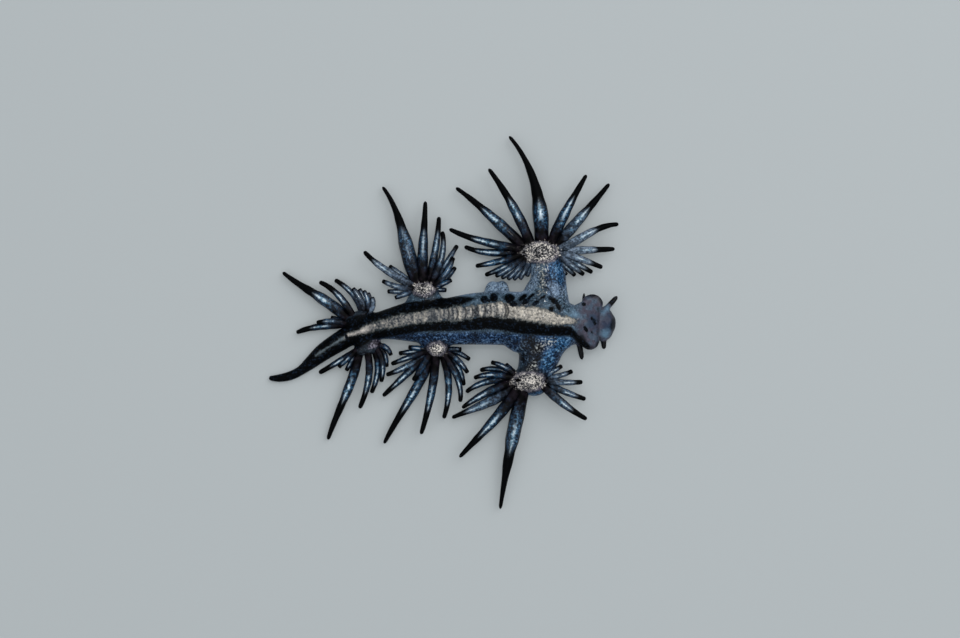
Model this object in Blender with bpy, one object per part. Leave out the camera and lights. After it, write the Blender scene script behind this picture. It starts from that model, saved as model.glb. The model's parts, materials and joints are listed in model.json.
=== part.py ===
"""A blue dragon sea slug, full grown, lying on its back with its foot turned up.

The head points along +X and the animal's own right side along +Y. The origin is on the floor, under
the middle of the trunk. Sizes are in millimetres until the meshes are written, in metres.
"""

import math
from collections import namedtuple

import bmesh
import bpy
import numpy as np
from mathutils import Matrix, Vector

MM = 0.001
GAP = 0.3            # left between neighbouring nodes
SINK = 0.9           # how far the root of each ceras reaches into its hub
FLAT_LEVEL = 0.44    # height of an oval's middle, as a share of the oval's height
BODY_SIDES = 20
ARM_SIDES = 18
RING_STEP = 1.1      # distance between the rings of the body
LOOK = 0.1           # how far before and behind a ring its heading is read
SAME_PLACE = 1e-5    # points nearer than this are one

# The body from the tip of the tail to the mouth: along, across, half width, height.
Station = namedtuple("Station", "x y half_width height")
BODY = (
    Station(-20.0, -6.30, 0.16, 0.45),
    Station(-18.6, -6.30, 0.36, 0.75),
    Station(-17.4, -6.02, 0.45, 0.95),
    Station(-16.3, -5.45, 0.56, 1.20),
    Station(-15.3, -4.65, 0.75, 1.50),
    Station(-13.8, -3.40, 1.00, 1.90),
    Station(-11.8, -2.10, 1.15, 2.30),
    Station(-9.5, -0.85, 1.28, 2.60),
    Station(-6.7, -0.25, 1.70, 2.95),
    Station(-3.3, 0.12, 2.40, 3.45),
    Station(0.1, 0.12, 2.65, 3.85),
    Station(4.1, 0.45, 3.00, 4.30),
    Station(8.6, 0.45, 3.05, 4.50),
    Station(10.9, 0.35, 2.85, 4.40),
    Station(13.1, -0.10, 2.60, 4.05),
    Station(14.7, -0.25, 2.30, 3.60),
    Station(16.2, -0.10, 1.75, 3.25),
    Station(17.2, -0.10, 1.80, 3.10),
    Station(18.1, -0.14, 1.98, 2.70),
    Station(18.7, -0.10, 1.70, 2.55),
    Station(19.15, -0.08, 1.20, 2.20),
    Station(19.45, -0.08, 0.55, 1.75),
)
# Where the body is parted, from the tail forwards.
CUTS = (-16.1, -12.2, -6.2, 2.8, 15.3, 17.35)
BODY_NODES = ("tail_tip", "tail_base", "trunk_rear", "trunk_middle", "trunk_front", "neck", "head")

# The two long arms, from inside the trunk to the hub.
ARMS = {
    "front_right": (
        Station(11.3, 1.2, 3.1, 3.9),
        Station(11.2, 3.4, 2.9, 3.8),
        Station(11.3, 4.5, 2.15, 3.6),
        Station(11.5, 5.6, 1.9, 3.4),
        Station(11.1, 7.9, 1.7, 3.2),
    ),
    "front_left": (
        Station(10.6, -1.2, 3.6, 3.9),
        Station(10.6, -2.7, 3.1, 3.8),
        Station(10.6, -3.7, 2.45, 3.6),
        Station(10.3, -4.9, 1.9, 3.4),
        Station(9.8, -6.4, 1.6, 3.1),
    ),
    "middle_right": (
        Station(-2.2, 0.8, 2.4, 2.9),
        Station(-2.2, 2.6, 2.1, 2.8),
        Station(-2.2, 3.8, 1.4, 2.7),
    ),
    "middle_left": (
        Station(-1.0, -0.8, 2.3, 2.9),
        Station(-0.9, -2.2, 2.0, 2.8),
        Station(-0.8, -3.1, 1.4, 2.7),
    ),
    "rear_right": (
        Station(-9.3, -0.6, 1.7, 2.2),
        Station(-9.6, 0.4, 1.4, 2.1),
    ),
    "rear_left": (
        Station(-8.9, -1.2, 1.7, 2.2),
        Station(-8.7, -2.7, 1.3, 2.1),
    ),
}
# The level of y at which each long arm is parted from its fan.
ARM_CUT = {"front_right": 4.70, "front_left": -4.35}

# A hub is the flat oval cushion that carries a fan of cerata: its middle, half length along the body,
# half width across, height, and how far its length is turned from +X towards +Y, in degrees.
Hub = namedtuple("Hub", "x y half_length half_width height turn")
HUBS = {
    "front_right": Hub(11.0, 8.1, 2.3, 1.35, 3.2, 0),
    "front_left": Hub(9.6, -6.5, 2.15, 1.45, 3.1, 0),
    "middle_right": Hub(-2.25, 3.8, 1.45, 1.0, 2.8, 0),
    "middle_left": Hub(-0.8, -3.1, 1.4, 1.0, 2.7, 0),
    "rear_right": Hub(-9.8, 0.45, 1.9, 0.9, 2.2, 25),
    "rear_left": Hub(-8.7, -2.9, 1.8, 0.85, 2.2, 14),
}

# A ceras is one finger of a fan. It sets out from the hub's rim, square to it, and bends on its way.
# The three headings are in degrees from +X towards +Y: at its root, half way and at its tip.
Ceras = namedtuple("Ceras", "leave half_way arrive length girth")


def between(first, last, count):
    """A run of cerata whose sizes and headings pass evenly from the first to the last."""
    steps = [step / (count - 1) for step in range(count)]
    return [Ceras(*(a + (b - a) * step for a, b in zip(first, last))) for step in steps]


FANS = {
    "front_right": [
        Ceras(89, 105, 130, 12.6, 1.80),
        Ceras(112, 119, 126, 9.5, 1.15),
        Ceras(138, 138, 144, 10.1, 1.25),
        Ceras(168, 166, 153, 8.5, 0.95),
        Ceras(184, 178, 156, 6.5, 0.90),
        Ceras(204, 194, 190, 5.4, 0.75),
        Ceras(217, 207, 200, 4.8, 0.70),
        *between(Ceras(225, 214, 208, 3.9, 0.65), Ceras(248, 242, 240, 2.4, 0.55), 5),
        Ceras(254, 250, 249, 1.8, 0.55),
        Ceras(69, 62, 60, 8.5, 1.15),
        Ceras(50, 49, 51, 9.1, 1.20),
        Ceras(21, 29, 2, 7.2, 0.95),
        Ceras(2, 2, 3, 6.1, 0.90),
        Ceras(-14, -20, -22, 5.0, 0.75),
        *between(Ceras(-28, -29, -29, 4.2, 0.65), Ceras(-60, -53, -51, 2.2, 0.55), 4),
    ],
    "front_left": [
        Ceras(-103, -101, -98, 13.6, 1.60),
        Ceras(-119, -132, -132, 10.1, 1.25),
        Ceras(-137, -155, -156, 7.8, 1.25),
        Ceras(-161, -153, -143, 6.2, 0.95),
        Ceras(-182, -166, -141, 5.3, 0.80),
        Ceras(-196, -181, -158, 4.2, 0.70),
        Ceras(-212, -190, -161, 3.7, 0.62),
        *between(Ceras(-224, -206, -192, 2.8, 0.58), Ceras(-228, -225, -225, 1.3, 0.55), 2),
        Ceras(-45, -38, -29, 6.1, 0.95),
        Ceras(-26, -22, -17, 4.8, 0.75),
        Ceras(-8, -2, 4, 4.0, 0.65),
        *between(Ceras(9, 16, 22, 3.0, 0.58), Ceras(30, 31, 31, 2.1, 0.55), 2),
    ],
    "middle_right": [
        Ceras(114, 105, 126, 11.6, 1.75),
        Ceras(94, 87, 89, 9.0, 1.15),
        Ceras(76, 80, 88, 7.4, 0.85),
        Ceras(62, 76, 101, 6.0, 0.72),
        Ceras(55, 58, 58, 5.1, 0.62),
        Ceras(39, 56, 73, 3.8, 0.60),
        Ceras(30, 44, 57, 3.1, 0.60),
        *between(Ceras(22, 24, 25, 1.9, 0.55), Ceras(-4, -4, -4, 1.1, 0.55), 2),
        Ceras(150, 147, 132, 6.8, 0.85),
        Ceras(140, 142, 143, 3.5, 0.62),
        *between(Ceras(178, 165, 153, 3.5, 0.62), Ceras(202, 201, 201, 2.1, 0.60), 3),
    ],
    "middle_left": [
        Ceras(-111, -121, -117, 11.2, 1.15),
        Ceras(-94, -101, -107, 8.8, 0.95),
        Ceras(-68, -89, -108, 7.1, 0.80),
        Ceras(-57, -68, -98, 5.6, 0.68),
        Ceras(-41, -61, -85, 4.1, 0.62),
        Ceras(-29, -46, -59, 3.2, 0.60),
        *between(Ceras(-7, -24, -38, 2.6, 0.56), Ceras(4, 0, -1, 1.4, 0.55), 2),
        Ceras(-136, -137, -137, 6.9, 0.85),
        Ceras(-122, -123, -124, 3.3, 0.80),
        Ceras(-141, -153, -160, 5.2, 0.75),
        *between(Ceras(-162, -160, -158, 4.1, 0.62), Ceras(-188, -186, -185, 1.9, 0.55), 3),
    ],
    "rear_right": [
        Ceras(135, 148, 141, 8.9, 1.35),
        Ceras(121, 137, 144, 5.1, 0.80),
        Ceras(107, 130, 141, 4.4, 0.70),
        *between(Ceras(99, 120, 129, 2.6, 0.62), Ceras(66, 70, 72, 1.3, 0.55), 3),
        Ceras(187, 187, 204, 5.4, 0.80),
        Ceras(166, 180, 196, 3.0, 0.60),
        Ceras(157, 162, 166, 1.5, 0.55),
    ],
    "rear_left": [
        Ceras(-100, -113, -108, 10.2, 1.15),
        Ceras(-78, -100, -114, 6.2, 0.78),
        Ceras(-65, -97, -114, 4.7, 0.68),
        Ceras(-56, -86, -103, 3.6, 0.60),
        *between(Ceras(-43, -75, -92, 2.2, 0.56), Ceras(-12, -51, -71, 1.5, 0.55), 2),
        Ceras(-148, -149, -151, 4.5, 0.68),
        *between(Ceras(-137, -137, -137, 2.3, 0.56), Ceras(-118, -119, -120, 2.1, 0.56), 2),
    ],
}
# Thickness along a ceras, as shares of its length and of its girth.
LONG_SHAPE = ((0.0, 0.80), (0.14, 0.93), (0.30, 1.0), (0.46, 0.82), (0.62, 0.63), (0.80, 0.49), (0.95, 0.34))
SHORT_SHAPE = ((0.0, 0.8), (0.35, 1.0), (0.65, 0.9), (0.90, 0.6))
LONG_FROM = 4.5      # a ceras this long has the finer shape
CERAS_SIDES = 5
FEELER_SIDES = 8
BALL_SIDES = 16
BALL_RINGS = 8
HUB_SIDES = 18
HUB_RINGS = 9
THINNEST = 0.5       # no ceras is thinner than this before its last fifth
BLUNT_FROM = 0.8
ROOT_LEVEL = 0.56    # height of the roots, as a share of the hub's height
DROOP = 0.06         # how far a tip sinks, for each millimetre of length
CLEAR = 0.35         # the least height of a ceras above the floor
LAYER_LIFT = 0.22    # every second ceras sets out this much higher, the others as much lower

# The front corners of the foot are two thin round flaps: middle, half length and half width.
FOOT_CORNERS = {"right": (16.78, 2.15, 1.28, 1.12), "left": (16.55, -2.05, 1.10, 1.08)}
FOOT_CORNER_HALF_THICKNESS = 0.5
FOOT_CORNER_LEVEL = 2.35
# The mouth is a level slit across the front of the head: its middle and half sizes.
MOUTH = (19.45, -0.10, 1.05)
MOUTH_HALF_SIZES = (0.40, 0.75, 0.14)
Feeler = namedtuple("Feeler", "x y level length girth aim")
FEELERS = {
    "oral_tentacle_right": Feeler(18.3, 1.40, 1.4, 1.85, 0.60, 48),
    "oral_tentacle_left": Feeler(18.1, -1.55, 1.4, 1.45, 0.60, -86),
    "rhinophore_right": Feeler(15.6, 1.7, 1.0, 1.6, 0.62, 80),
    "rhinophore_left": Feeler(15.4, -1.7, 1.0, 2.6, 0.62, -88),
}
FEELER_SHAPE = ((0.0, 1.0), (0.4, 0.95), (0.75, 0.8), (0.93, 0.5))
# Along, across, half length, half width, height and turn.
SIDE_LOBE = (5.9, 3.35, 1.45, 1.35, 1.9, 0)


def clear_scene():
    for thing in list(bpy.data.objects):
        bpy.data.objects.remove(thing)


def finish(name, colour, roughness):
    """A plain surface of one colour."""
    made = bpy.data.materials.new(name)
    made.use_nodes = True
    surface = made.node_tree.nodes["Principled BSDF"]
    surface.inputs["Base Color"].default_value = (*colour, 1.0)
    surface.inputs["Roughness"].default_value = roughness
    surface.inputs["Metallic"].default_value = 0.0
    return made


def add_object(name, bm):
    """Writes a mesh in millimetres out as an object in metres, its faces pointing outwards."""
    bmesh.ops.recalc_face_normals(bm, faces=bm.faces)
    bmesh.ops.scale(bm, vec=Vector((MM, MM, MM)), verts=bm.verts)
    mesh = bpy.data.meshes.new(name)
    bm.to_mesh(mesh)
    bm.free()
    thing = bpy.data.objects.new(name, mesh)
    bpy.context.scene.collection.objects.link(thing)
    return thing


def smooth_line(stations, samples=24):
    """Dense rows of x, y, half width and height on a smooth curve through the stations."""
    rows = np.array(stations, float)
    padded = np.vstack([2 * rows[0] - rows[1], rows, 2 * rows[-1] - rows[-2]])
    dense = []
    for before, here, there, after in zip(padded, padded[1:], padded[2:], padded[3:]):
        for t in np.arange(samples) / samples:
            dense.append(0.5 * (
                2 * here + (there - before) * t
                + (2 * before - 5 * here + 4 * there - after) * t ** 2
                + (3 * here - before - 3 * there + after) * t ** 3
            ))
    dense.append(rows[-1])
    dense = np.array(dense)
    steps = np.linalg.norm(np.diff(dense[:, :2], axis=0), axis=1)
    return np.concatenate([[0.0], np.cumsum(steps)]), dense


def cross_section(row, heading, sides, grow):
    """The oval round one point of the line, square to the heading and flat where it lies."""
    x, y, half_width, height = row
    points = []
    for side in range(sides):
        turn = 2 * math.pi * side / sides
        across = (half_width + grow) * math.cos(turn)
        up = FLAT_LEVEL * height + ((1 - FLAT_LEVEL) * height + grow) * math.sin(turn)
        left = Vector((-heading[1], heading[0], 0.0)) * across
        points.append(Vector((x, y, max(up, -grow))) + left)
    return points


def sleeve(stations, sides, start=0.0, end=None, grow=0.0):
    """A closed skin round the line through the stations, from one distance along it to another."""
    distance, dense = smooth_line(stations)
    end = distance[-1] if end is None else end
    bm = bmesh.new()
    ring = list(bmesh.ops.create_circle(bm, segments=sides, radius=1.0)["verts"])
    count = max(2, round((end - start) / RING_STEP) + 1)
    for number, where in enumerate(np.linspace(start, end, count)):
        if number:
            loop = [edge for edge in bm.edges if all(v in ring for v in edge.verts)]
            made = bmesh.ops.extrude_edge_only(bm, edges=loop)["geom"]
            ring = follow(ring, made)
        row = [np.interp(where, distance, column) for column in dense.T]
        ahead = [np.interp(where + LOOK, distance, column) for column in dense.T[:2]]
        behind = [np.interp(where - LOOK, distance, column) for column in dense.T[:2]]
        heading = Vector((ahead[0] - behind[0], ahead[1] - behind[1])).normalized()
        for vert, point in zip(ring, cross_section(row, heading, sides, grow)):
            vert.co = point
    bmesh.ops.holes_fill(bm, edges=bm.edges)
    return bm


def follow(ring, made):
    """The new ring that an extrusion made, in the order of the old one."""
    fresh = {item for item in made if isinstance(item, bmesh.types.BMVert)}
    pairs = []
    for vert in ring:
        ends = [edge.other_vert(vert) for edge in vert.link_edges]
        pairs.append(next(end for end in ends if end in fresh))
    return pairs


def distance_at(stations, x):
    """How far along the line its x reaches this value."""
    distance, dense = smooth_line(stations)
    return float(np.interp(x, dense[:, 0], distance))


def cushion(x, y, half_length, half_width, height, turn):
    """A rounded oval cushion that lies on the floor on a small flat."""
    bm = bmesh.new()
    bmesh.ops.create_uvsphere(bm, u_segments=HUB_SIDES, v_segments=HUB_RINGS, radius=1.0)
    for vert in bm.verts:
        up = FLAT_LEVEL * height + (1 - FLAT_LEVEL) * height * vert.co.z
        vert.co = Vector((half_length * vert.co.x, half_width * vert.co.y, max(up, 0.0)))
    turned = Matrix.Rotation(math.radians(turn), 3, "Z")
    bmesh.ops.rotate(bm, cent=Vector((0, 0, 0)), matrix=turned, verts=bm.verts)
    bmesh.ops.translate(bm, vec=Vector((x, y, 0.0)), verts=bm.verts)
    return bm


def spun(shape, sides):
    """A closed finger one long and one across, its profile turned about the X axis."""
    bm = bmesh.new()
    profile = [bm.verts.new((share, girth / 2, 0.0)) for share, girth in shape]
    profile.insert(0, bm.verts.new((shape[0][0], 0.0, 0.0)))
    profile.append(bm.verts.new((1.0, 0.0, 0.0)))
    edges = [bm.edges.new(pair) for pair in zip(profile, profile[1:])]
    bmesh.ops.spin(
        bm, geom=profile + edges, cent=Vector((0, 0, 0)), axis=Vector((1, 0, 0)),
        dvec=Vector((0, 0, 0)), angle=2 * math.pi, steps=sides, use_merge=True,
    )
    bmesh.ops.remove_doubles(bm, verts=bm.verts, dist=SAME_PLACE)
    return bm


def towards(degrees):
    return Vector((math.cos(math.radians(degrees)), math.sin(math.radians(degrees))))


def rim_point(hub, degrees):
    """Where the hub's oval faces this way."""
    way = towards(degrees - hub.turn)
    reach = math.hypot(hub.half_length * way.x, hub.half_width * way.y)
    on_oval = Vector((hub.half_length ** 2 * way.x / reach, hub.half_width ** 2 * way.y / reach))
    on_oval.rotate(Matrix.Rotation(math.radians(hub.turn), 2))
    return Vector((hub.x, hub.y)) + on_oval


def heading_at(sizes, share):
    """The heading this share of the way along, through the three stated ones."""
    return (
        sizes.leave * (1 - share) * (1 - 2 * share)
        + sizes.half_way * 4 * share * (1 - share)
        + sizes.arrive * share * (2 * share - 1)
    )


def ceras_path(hub, sizes, lift, steps=24):
    """Places and headings from inside the hub out to the tip."""
    whole = sizes.length + SINK
    place = rim_point(hub, sizes.leave) - towards(sizes.leave) * SINK
    level = ROOT_LEVEL * hub.height + lift
    path = []
    for step in range(steps + 1):
        share = max(whole * step / steps - SINK, 0.0) / sizes.length
        heading = towards(heading_at(sizes, share))
        if step:
            place = place + heading * (whole / steps)
        fall = DROOP * sizes.length * share ** 2
        path.append((Vector((*place, level - fall)), heading))
    return path


def ceras(hub, sizes, lift):
    """One finger, bent along its path."""
    shape = LONG_SHAPE if sizes.length >= LONG_FROM else SHORT_SHAPE
    thick = [
        (share, max(girth, THINNEST / sizes.girth) if share < BLUNT_FROM else girth)
        for share, girth in shape
    ]
    bm = spun(thick, CERAS_SIDES)
    path = ceras_path(hub, sizes, lift)
    last = len(path) - 1
    for vert in bm.verts:
        spot = vert.co.x * last
        low = min(int(spot), last - 1)
        place = path[low][0].lerp(path[low + 1][0], spot - low)
        heading = path[low][1].lerp(path[low + 1][1], spot - low).normalized()
        left = Vector((-heading.y, heading.x, 0.0))
        radius = math.hypot(vert.co.y, vert.co.z) * sizes.girth
        place.z = max(place.z, CLEAR + radius)
        vert.co = place + (left * vert.co.y + Vector((0, 0, vert.co.z))) * sizes.girth
    return bm


def feeler(sizes):
    """A short blunt feeler, straight and level."""
    bm = spun(FEELER_SHAPE, FEELER_SIDES)
    bmesh.ops.scale(bm, vec=Vector((sizes.length, sizes.girth, sizes.girth)), verts=bm.verts)
    turn = Matrix.Rotation(math.radians(sizes.aim), 3, "Z")
    bmesh.ops.rotate(bm, cent=Vector((0, 0, 0)), matrix=turn, verts=bm.verts)
    bmesh.ops.translate(bm, vec=Vector((sizes.x, sizes.y, sizes.level)), verts=bm.verts)
    return bm


def largest_surface(mesh):
    """Drops every loose scrap and sealed hollow, so that one closed surface is left."""
    bm = bmesh.new()
    bm.from_mesh(mesh)
    unseen = set(bm.verts)
    groups = []
    while unseen:
        group, edge = set(), [unseen.pop()]
        while edge:
            vert = edge.pop()
            group.add(vert)
            near = {link.other_vert(vert) for link in vert.link_edges} & unseen
            unseen -= near
            edge.extend(near)
        groups.append(group)
    kept = max(groups, key=len)
    bmesh.ops.delete(bm, geom=[v for v in bm.verts if v not in kept], context="VERTS")
    bm.to_mesh(mesh)
    bm.free()


def combine(target, others, operation):
    """Applies one Boolean of the target with all the others, and removes them."""
    helpers = bpy.data.collections.new("helpers")
    bpy.context.scene.collection.children.link(helpers)
    for other in others:
        bpy.context.scene.collection.objects.unlink(other)
        helpers.objects.link(other)
    cut = target.modifiers.new(operation.title(), "BOOLEAN")
    cut.operation = operation
    cut.solver = "EXACT"
    cut.operand_type = "COLLECTION"
    cut.collection = helpers
    bpy.context.view_layer.update()
    graph = bpy.context.evaluated_depsgraph_get()
    mesh = bpy.data.meshes.new_from_object(target.evaluated_get(graph))
    target.modifiers.clear()
    target.data = mesh
    for other in others:
        bpy.data.objects.remove(other)
    bpy.data.collections.remove(helpers)
    largest_surface(target.data)


def keep_beyond(bm, level, side):
    """Cuts a closed skin at a level of y and keeps the part on one side of it."""
    made = bmesh.ops.bisect_plane(
        bm, geom=bm.verts[:] + bm.edges[:] + bm.faces[:], plane_co=Vector((0, level, 0)),
        plane_no=Vector((0, side, 0)), clear_inner=True,
    )["geom_cut"]
    edges = [item for item in made if isinstance(item, bmesh.types.BMEdge)]
    bmesh.ops.holes_fill(bm, edges=edges)
    return bm


def body_piece(name):
    """One length of the body, a gap short of the next."""
    number = BODY_NODES.index(name)
    marks = [distance_at(BODY, x) for x in CUTS]
    distance, _ = smooth_line(BODY)
    start = marks[number - 1] + GAP / 2 if number else 0.0
    end = marks[number] - GAP / 2 if number < len(marks) else distance[-1]
    return sleeve(BODY, BODY_SIDES, start, end)


def body_cutter():
    """The whole body, a gap bigger all round."""
    return add_object("cutter", sleeve(BODY, BODY_SIDES, grow=GAP))


def build_body(skin):
    made = {}
    for name in BODY_NODES:
        made[name] = add_object(name, body_piece(name))
        made[name].data.materials.append(skin)
    lobe = add_object("side_lobe", cushion(*SIDE_LOBE))
    combine(made["trunk_front"], [lobe], "UNION")
    mouth = add_object("mouth", oval_ball(MOUTH, MOUTH_HALF_SIZES))
    combine(made["head"], [mouth], "DIFFERENCE")


def build_arm(name, skin):
    """The part of a long arm between the trunk and its fan."""
    side = 1 if name.endswith("right") else -1
    bm = keep_beyond(sleeve(ARMS[name], ARM_SIDES), ARM_CUT[name] - side * GAP / 2, -side)
    arm = add_object("arm_" + name, bm)
    combine(arm, [body_cutter()], "DIFFERENCE")
    arm.data.materials.append(skin)


def build_fan(name, skin):
    """A hub with its stalk and its cerata, in one piece."""
    hub = HUBS[name]
    side = 1 if name.endswith("right") else -1
    stalk = sleeve(ARMS[name], ARM_SIDES)
    if name in ARM_CUT:
        keep_beyond(stalk, ARM_CUT[name] + side * GAP / 2, side)
    fan = add_object("fan_" + name, stalk)
    pieces = [add_object("hub", cushion(*hub))]
    for number, sizes in enumerate(FANS[name]):
        lift = LAYER_LIFT if number % 2 else -LAYER_LIFT
        pieces.append(add_object("ceras", ceras(hub, sizes, lift)))
    combine(fan, pieces, "UNION")
    combine(fan, [body_cutter()], "DIFFERENCE")
    fan.data.materials.append(skin)


def oval_ball(middle, half_sizes):
    bm = bmesh.new()
    bmesh.ops.create_uvsphere(bm, u_segments=BALL_SIDES, v_segments=BALL_RINGS, radius=1.0)
    bmesh.ops.scale(bm, vec=Vector(half_sizes), verts=bm.verts)
    bmesh.ops.translate(bm, vec=Vector(middle), verts=bm.verts)
    return bm


def build_head_parts(skin):
    for side, (x, y, half_length, half_width) in FOOT_CORNERS.items():
        half_sizes = (half_length, half_width, FOOT_CORNER_HALF_THICKNESS)
        flap = oval_ball((x, y, FOOT_CORNER_LEVEL), half_sizes)
        corner = add_object("foot_corner_" + side, flap)
        combine(corner, [body_cutter()], "DIFFERENCE")
        corner.data.materials.append(skin)
    for name, sizes in FEELERS.items():
        made = add_object(name, feeler(sizes))
        combine(made, [body_cutter()], "DIFFERENCE")
        made.data.materials.append(skin)


def main():
    clear_scene()
    body_skin = finish("body skin", (0.07, 0.11, 0.22), 0.35)
    fan_skin = finish("cerata skin", (0.03, 0.07, 0.24), 0.35)
    lobe_skin = finish("lobe skin", (0.16, 0.15, 0.22), 0.35)
    build_body(body_skin)
    for name in ARM_CUT:
        build_arm(name, body_skin)
    for name in HUBS:
        build_fan(name, fan_skin)
    build_head_parts(lobe_skin)


main()
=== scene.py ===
# %% [markdown]
# # A blue dragon sea slug, lying on its back
#
# This sea slug is 40 mm long and lives upside down at the surface of the sea, so the side that people
# see is its belly. A pale foot runs the length of the body between two dark bands. Six fans of cerata,
# finger-like outgrowths, stand on arms and cushions at its sides. The script loads the plain solids of
# the animal, then dresses them: one continuous skin for the flesh, finely modelled cerata, and two
# wet, speckled finishes that are worked out from nodes.

# %% Load the solids of the animal
import json
import math
from collections import namedtuple

import bmesh
import bpy
import numpy as np
from mathutils import Matrix, Vector, noise

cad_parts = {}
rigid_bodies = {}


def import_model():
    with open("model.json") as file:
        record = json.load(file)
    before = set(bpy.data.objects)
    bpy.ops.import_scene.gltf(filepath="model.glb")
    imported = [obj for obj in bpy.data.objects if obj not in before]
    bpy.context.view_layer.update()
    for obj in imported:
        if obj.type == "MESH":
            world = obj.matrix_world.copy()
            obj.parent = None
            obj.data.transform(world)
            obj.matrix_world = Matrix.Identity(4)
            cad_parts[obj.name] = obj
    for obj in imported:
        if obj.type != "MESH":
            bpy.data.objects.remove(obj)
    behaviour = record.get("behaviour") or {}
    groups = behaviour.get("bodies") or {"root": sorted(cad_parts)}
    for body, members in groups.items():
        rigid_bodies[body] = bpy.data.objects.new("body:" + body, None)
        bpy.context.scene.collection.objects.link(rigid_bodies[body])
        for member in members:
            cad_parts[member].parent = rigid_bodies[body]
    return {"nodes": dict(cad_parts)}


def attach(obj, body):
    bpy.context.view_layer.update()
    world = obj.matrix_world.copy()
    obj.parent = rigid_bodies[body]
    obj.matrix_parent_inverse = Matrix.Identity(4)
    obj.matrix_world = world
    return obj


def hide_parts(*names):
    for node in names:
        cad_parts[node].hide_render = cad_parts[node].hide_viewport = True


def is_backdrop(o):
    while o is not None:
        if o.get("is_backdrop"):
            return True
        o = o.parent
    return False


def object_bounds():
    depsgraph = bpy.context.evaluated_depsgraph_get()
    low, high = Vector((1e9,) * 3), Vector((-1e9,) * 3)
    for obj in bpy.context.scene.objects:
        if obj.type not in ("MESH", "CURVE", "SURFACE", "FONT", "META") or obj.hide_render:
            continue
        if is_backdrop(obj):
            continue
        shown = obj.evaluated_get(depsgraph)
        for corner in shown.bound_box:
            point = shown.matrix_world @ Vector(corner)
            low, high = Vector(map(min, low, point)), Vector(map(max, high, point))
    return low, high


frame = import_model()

cad_low, cad_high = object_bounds()
MM = 0.001           # a millimetre, in the metres of the scene
print("solids:", len(frame["nodes"]), "size in mm:", [round(side / MM, 1) for side in cad_high - cad_low])

# %% [markdown]
# ## The body's own sizes
#
# A soft body has no straight edges to measure from. What can be measured is its outline, so the body
# is stated as stations: a place on its middle line, half its width there and its height. The head
# points along +X, and +Y is the animal's own right. Everything is in millimetres until a mesh is
# finished. The same stations shaped the solids, so the skin lies where they are.

# %% Body and arms as stations
Station = namedtuple("Station", "x y half_width height")
BODY = (
    Station(-20.0, -6.33, 0.26, 0.55),
    Station(-19.4, -6.37, 0.38, 0.68),
    Station(-18.6, -6.32, 0.48, 0.82),
    Station(-17.4, -6.02, 0.54, 0.98),
    Station(-16.3, -5.45, 0.56, 1.20),
    Station(-15.3, -4.65, 0.75, 1.50),
    Station(-13.8, -3.40, 1.00, 1.90),
    Station(-11.8, -2.10, 1.15, 2.30),
    Station(-9.5, -0.85, 1.28, 2.60),
    Station(-6.7, -0.25, 1.70, 2.95),
    Station(-3.3, 0.12, 2.40, 3.45),
    Station(0.1, 0.12, 2.65, 3.85),
    Station(4.1, 0.45, 3.00, 4.30),
    Station(8.6, 0.45, 3.05, 4.50),
    Station(10.9, 0.35, 2.85, 4.40),
    Station(13.1, -0.10, 2.60, 4.05),
    Station(14.7, -0.25, 2.30, 3.55),
    Station(16.2, -0.10, 1.85, 3.05),
    Station(17.2, -0.10, 1.85, 2.75),
    Station(18.1, -0.14, 1.98, 2.62),
    Station(18.7, -0.10, 1.72, 2.50),
    Station(19.15, -0.08, 1.25, 2.20),
    Station(19.45, -0.08, 0.60, 1.75),
)
ARMS = {
    "front_right": (
        Station(11.3, 1.2, 3.1, 3.9),
        Station(11.6, 3.4, 2.55, 3.8),
        Station(11.8, 4.5, 2.15, 3.6),
        Station(11.8, 5.6, 1.95, 3.4),
        Station(11.2, 7.9, 1.7, 3.2),
    ),
    "front_left": (
        Station(10.6, -1.2, 3.6, 3.9),
        Station(10.75, -2.6, 3.75, 3.8),
        Station(10.75, -3.2, 3.05, 3.7),
        Station(10.75, -3.8, 2.5, 3.6),
        Station(10.35, -4.9, 2.0, 3.4),
        Station(9.9, -6.4, 1.7, 3.1),
    ),
    "middle_right": (
        Station(-2.2, 0.8, 2.4, 2.9),
        Station(-2.2, 2.6, 2.1, 2.8),
        Station(-2.2, 3.8, 1.4, 2.7),
    ),
    "middle_left": (
        Station(-1.0, -0.8, 2.3, 2.9),
        Station(-0.9, -2.2, 2.0, 2.8),
        Station(-0.8, -3.1, 1.4, 2.7),
    ),
    "rear_right": (
        Station(-9.3, -0.6, 1.7, 2.2),
        Station(-9.6, 0.4, 1.4, 2.1),
    ),
    "rear_left": (
        Station(-8.9, -1.2, 1.7, 2.2),
        Station(-8.7, -2.7, 1.3, 2.1),
    ),
}
print("stations along the body:", len(BODY))

# %% [markdown]
# ## Hubs and cerata as sizes
#
# A hub is the flat oval cushion at the end of an arm. Each ceras sets out from its rim, square to it,
# and bends on its way, so three headings draw its curve: at its root, half way and at its tip, in
# degrees from +X towards +Y. Then come its length and its girth, and the share of its length at which the
# pale streak ends and the black begins, which differs from ceras to ceras and is what an eye notices
# first. The last three say how clear and grey it is, because some carry less of the dark gut, how
# strongly its streak and its painted highlight show, and how much of its fullness it loses where the
# black begins.

# %% The six fans
Hub = namedtuple("Hub", "x y half_length half_width height turn")
HUBS = {
    "front_right": Hub(11.0, 8.1, 2.3, 1.35, 3.2, 0),
    "front_left": Hub(9.6, -6.5, 2.15, 1.45, 3.1, 0),
    "middle_right": Hub(-2.25, 3.8, 1.45, 1.0, 2.8, 0),
    "middle_left": Hub(-0.8, -3.1, 1.4, 1.0, 2.7, 0),
    "rear_right": Hub(-9.8, 0.45, 1.9, 0.9, 2.2, 25),
    "rear_left": Hub(-8.7, -2.9, 1.8, 0.85, 2.2, 14),
}
Ceras = namedtuple(
    "Ceras", "leave half_way arrive length girth black_from clear shine shoulder", defaults=(0.0, 1.0, 0.10)
)


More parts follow.
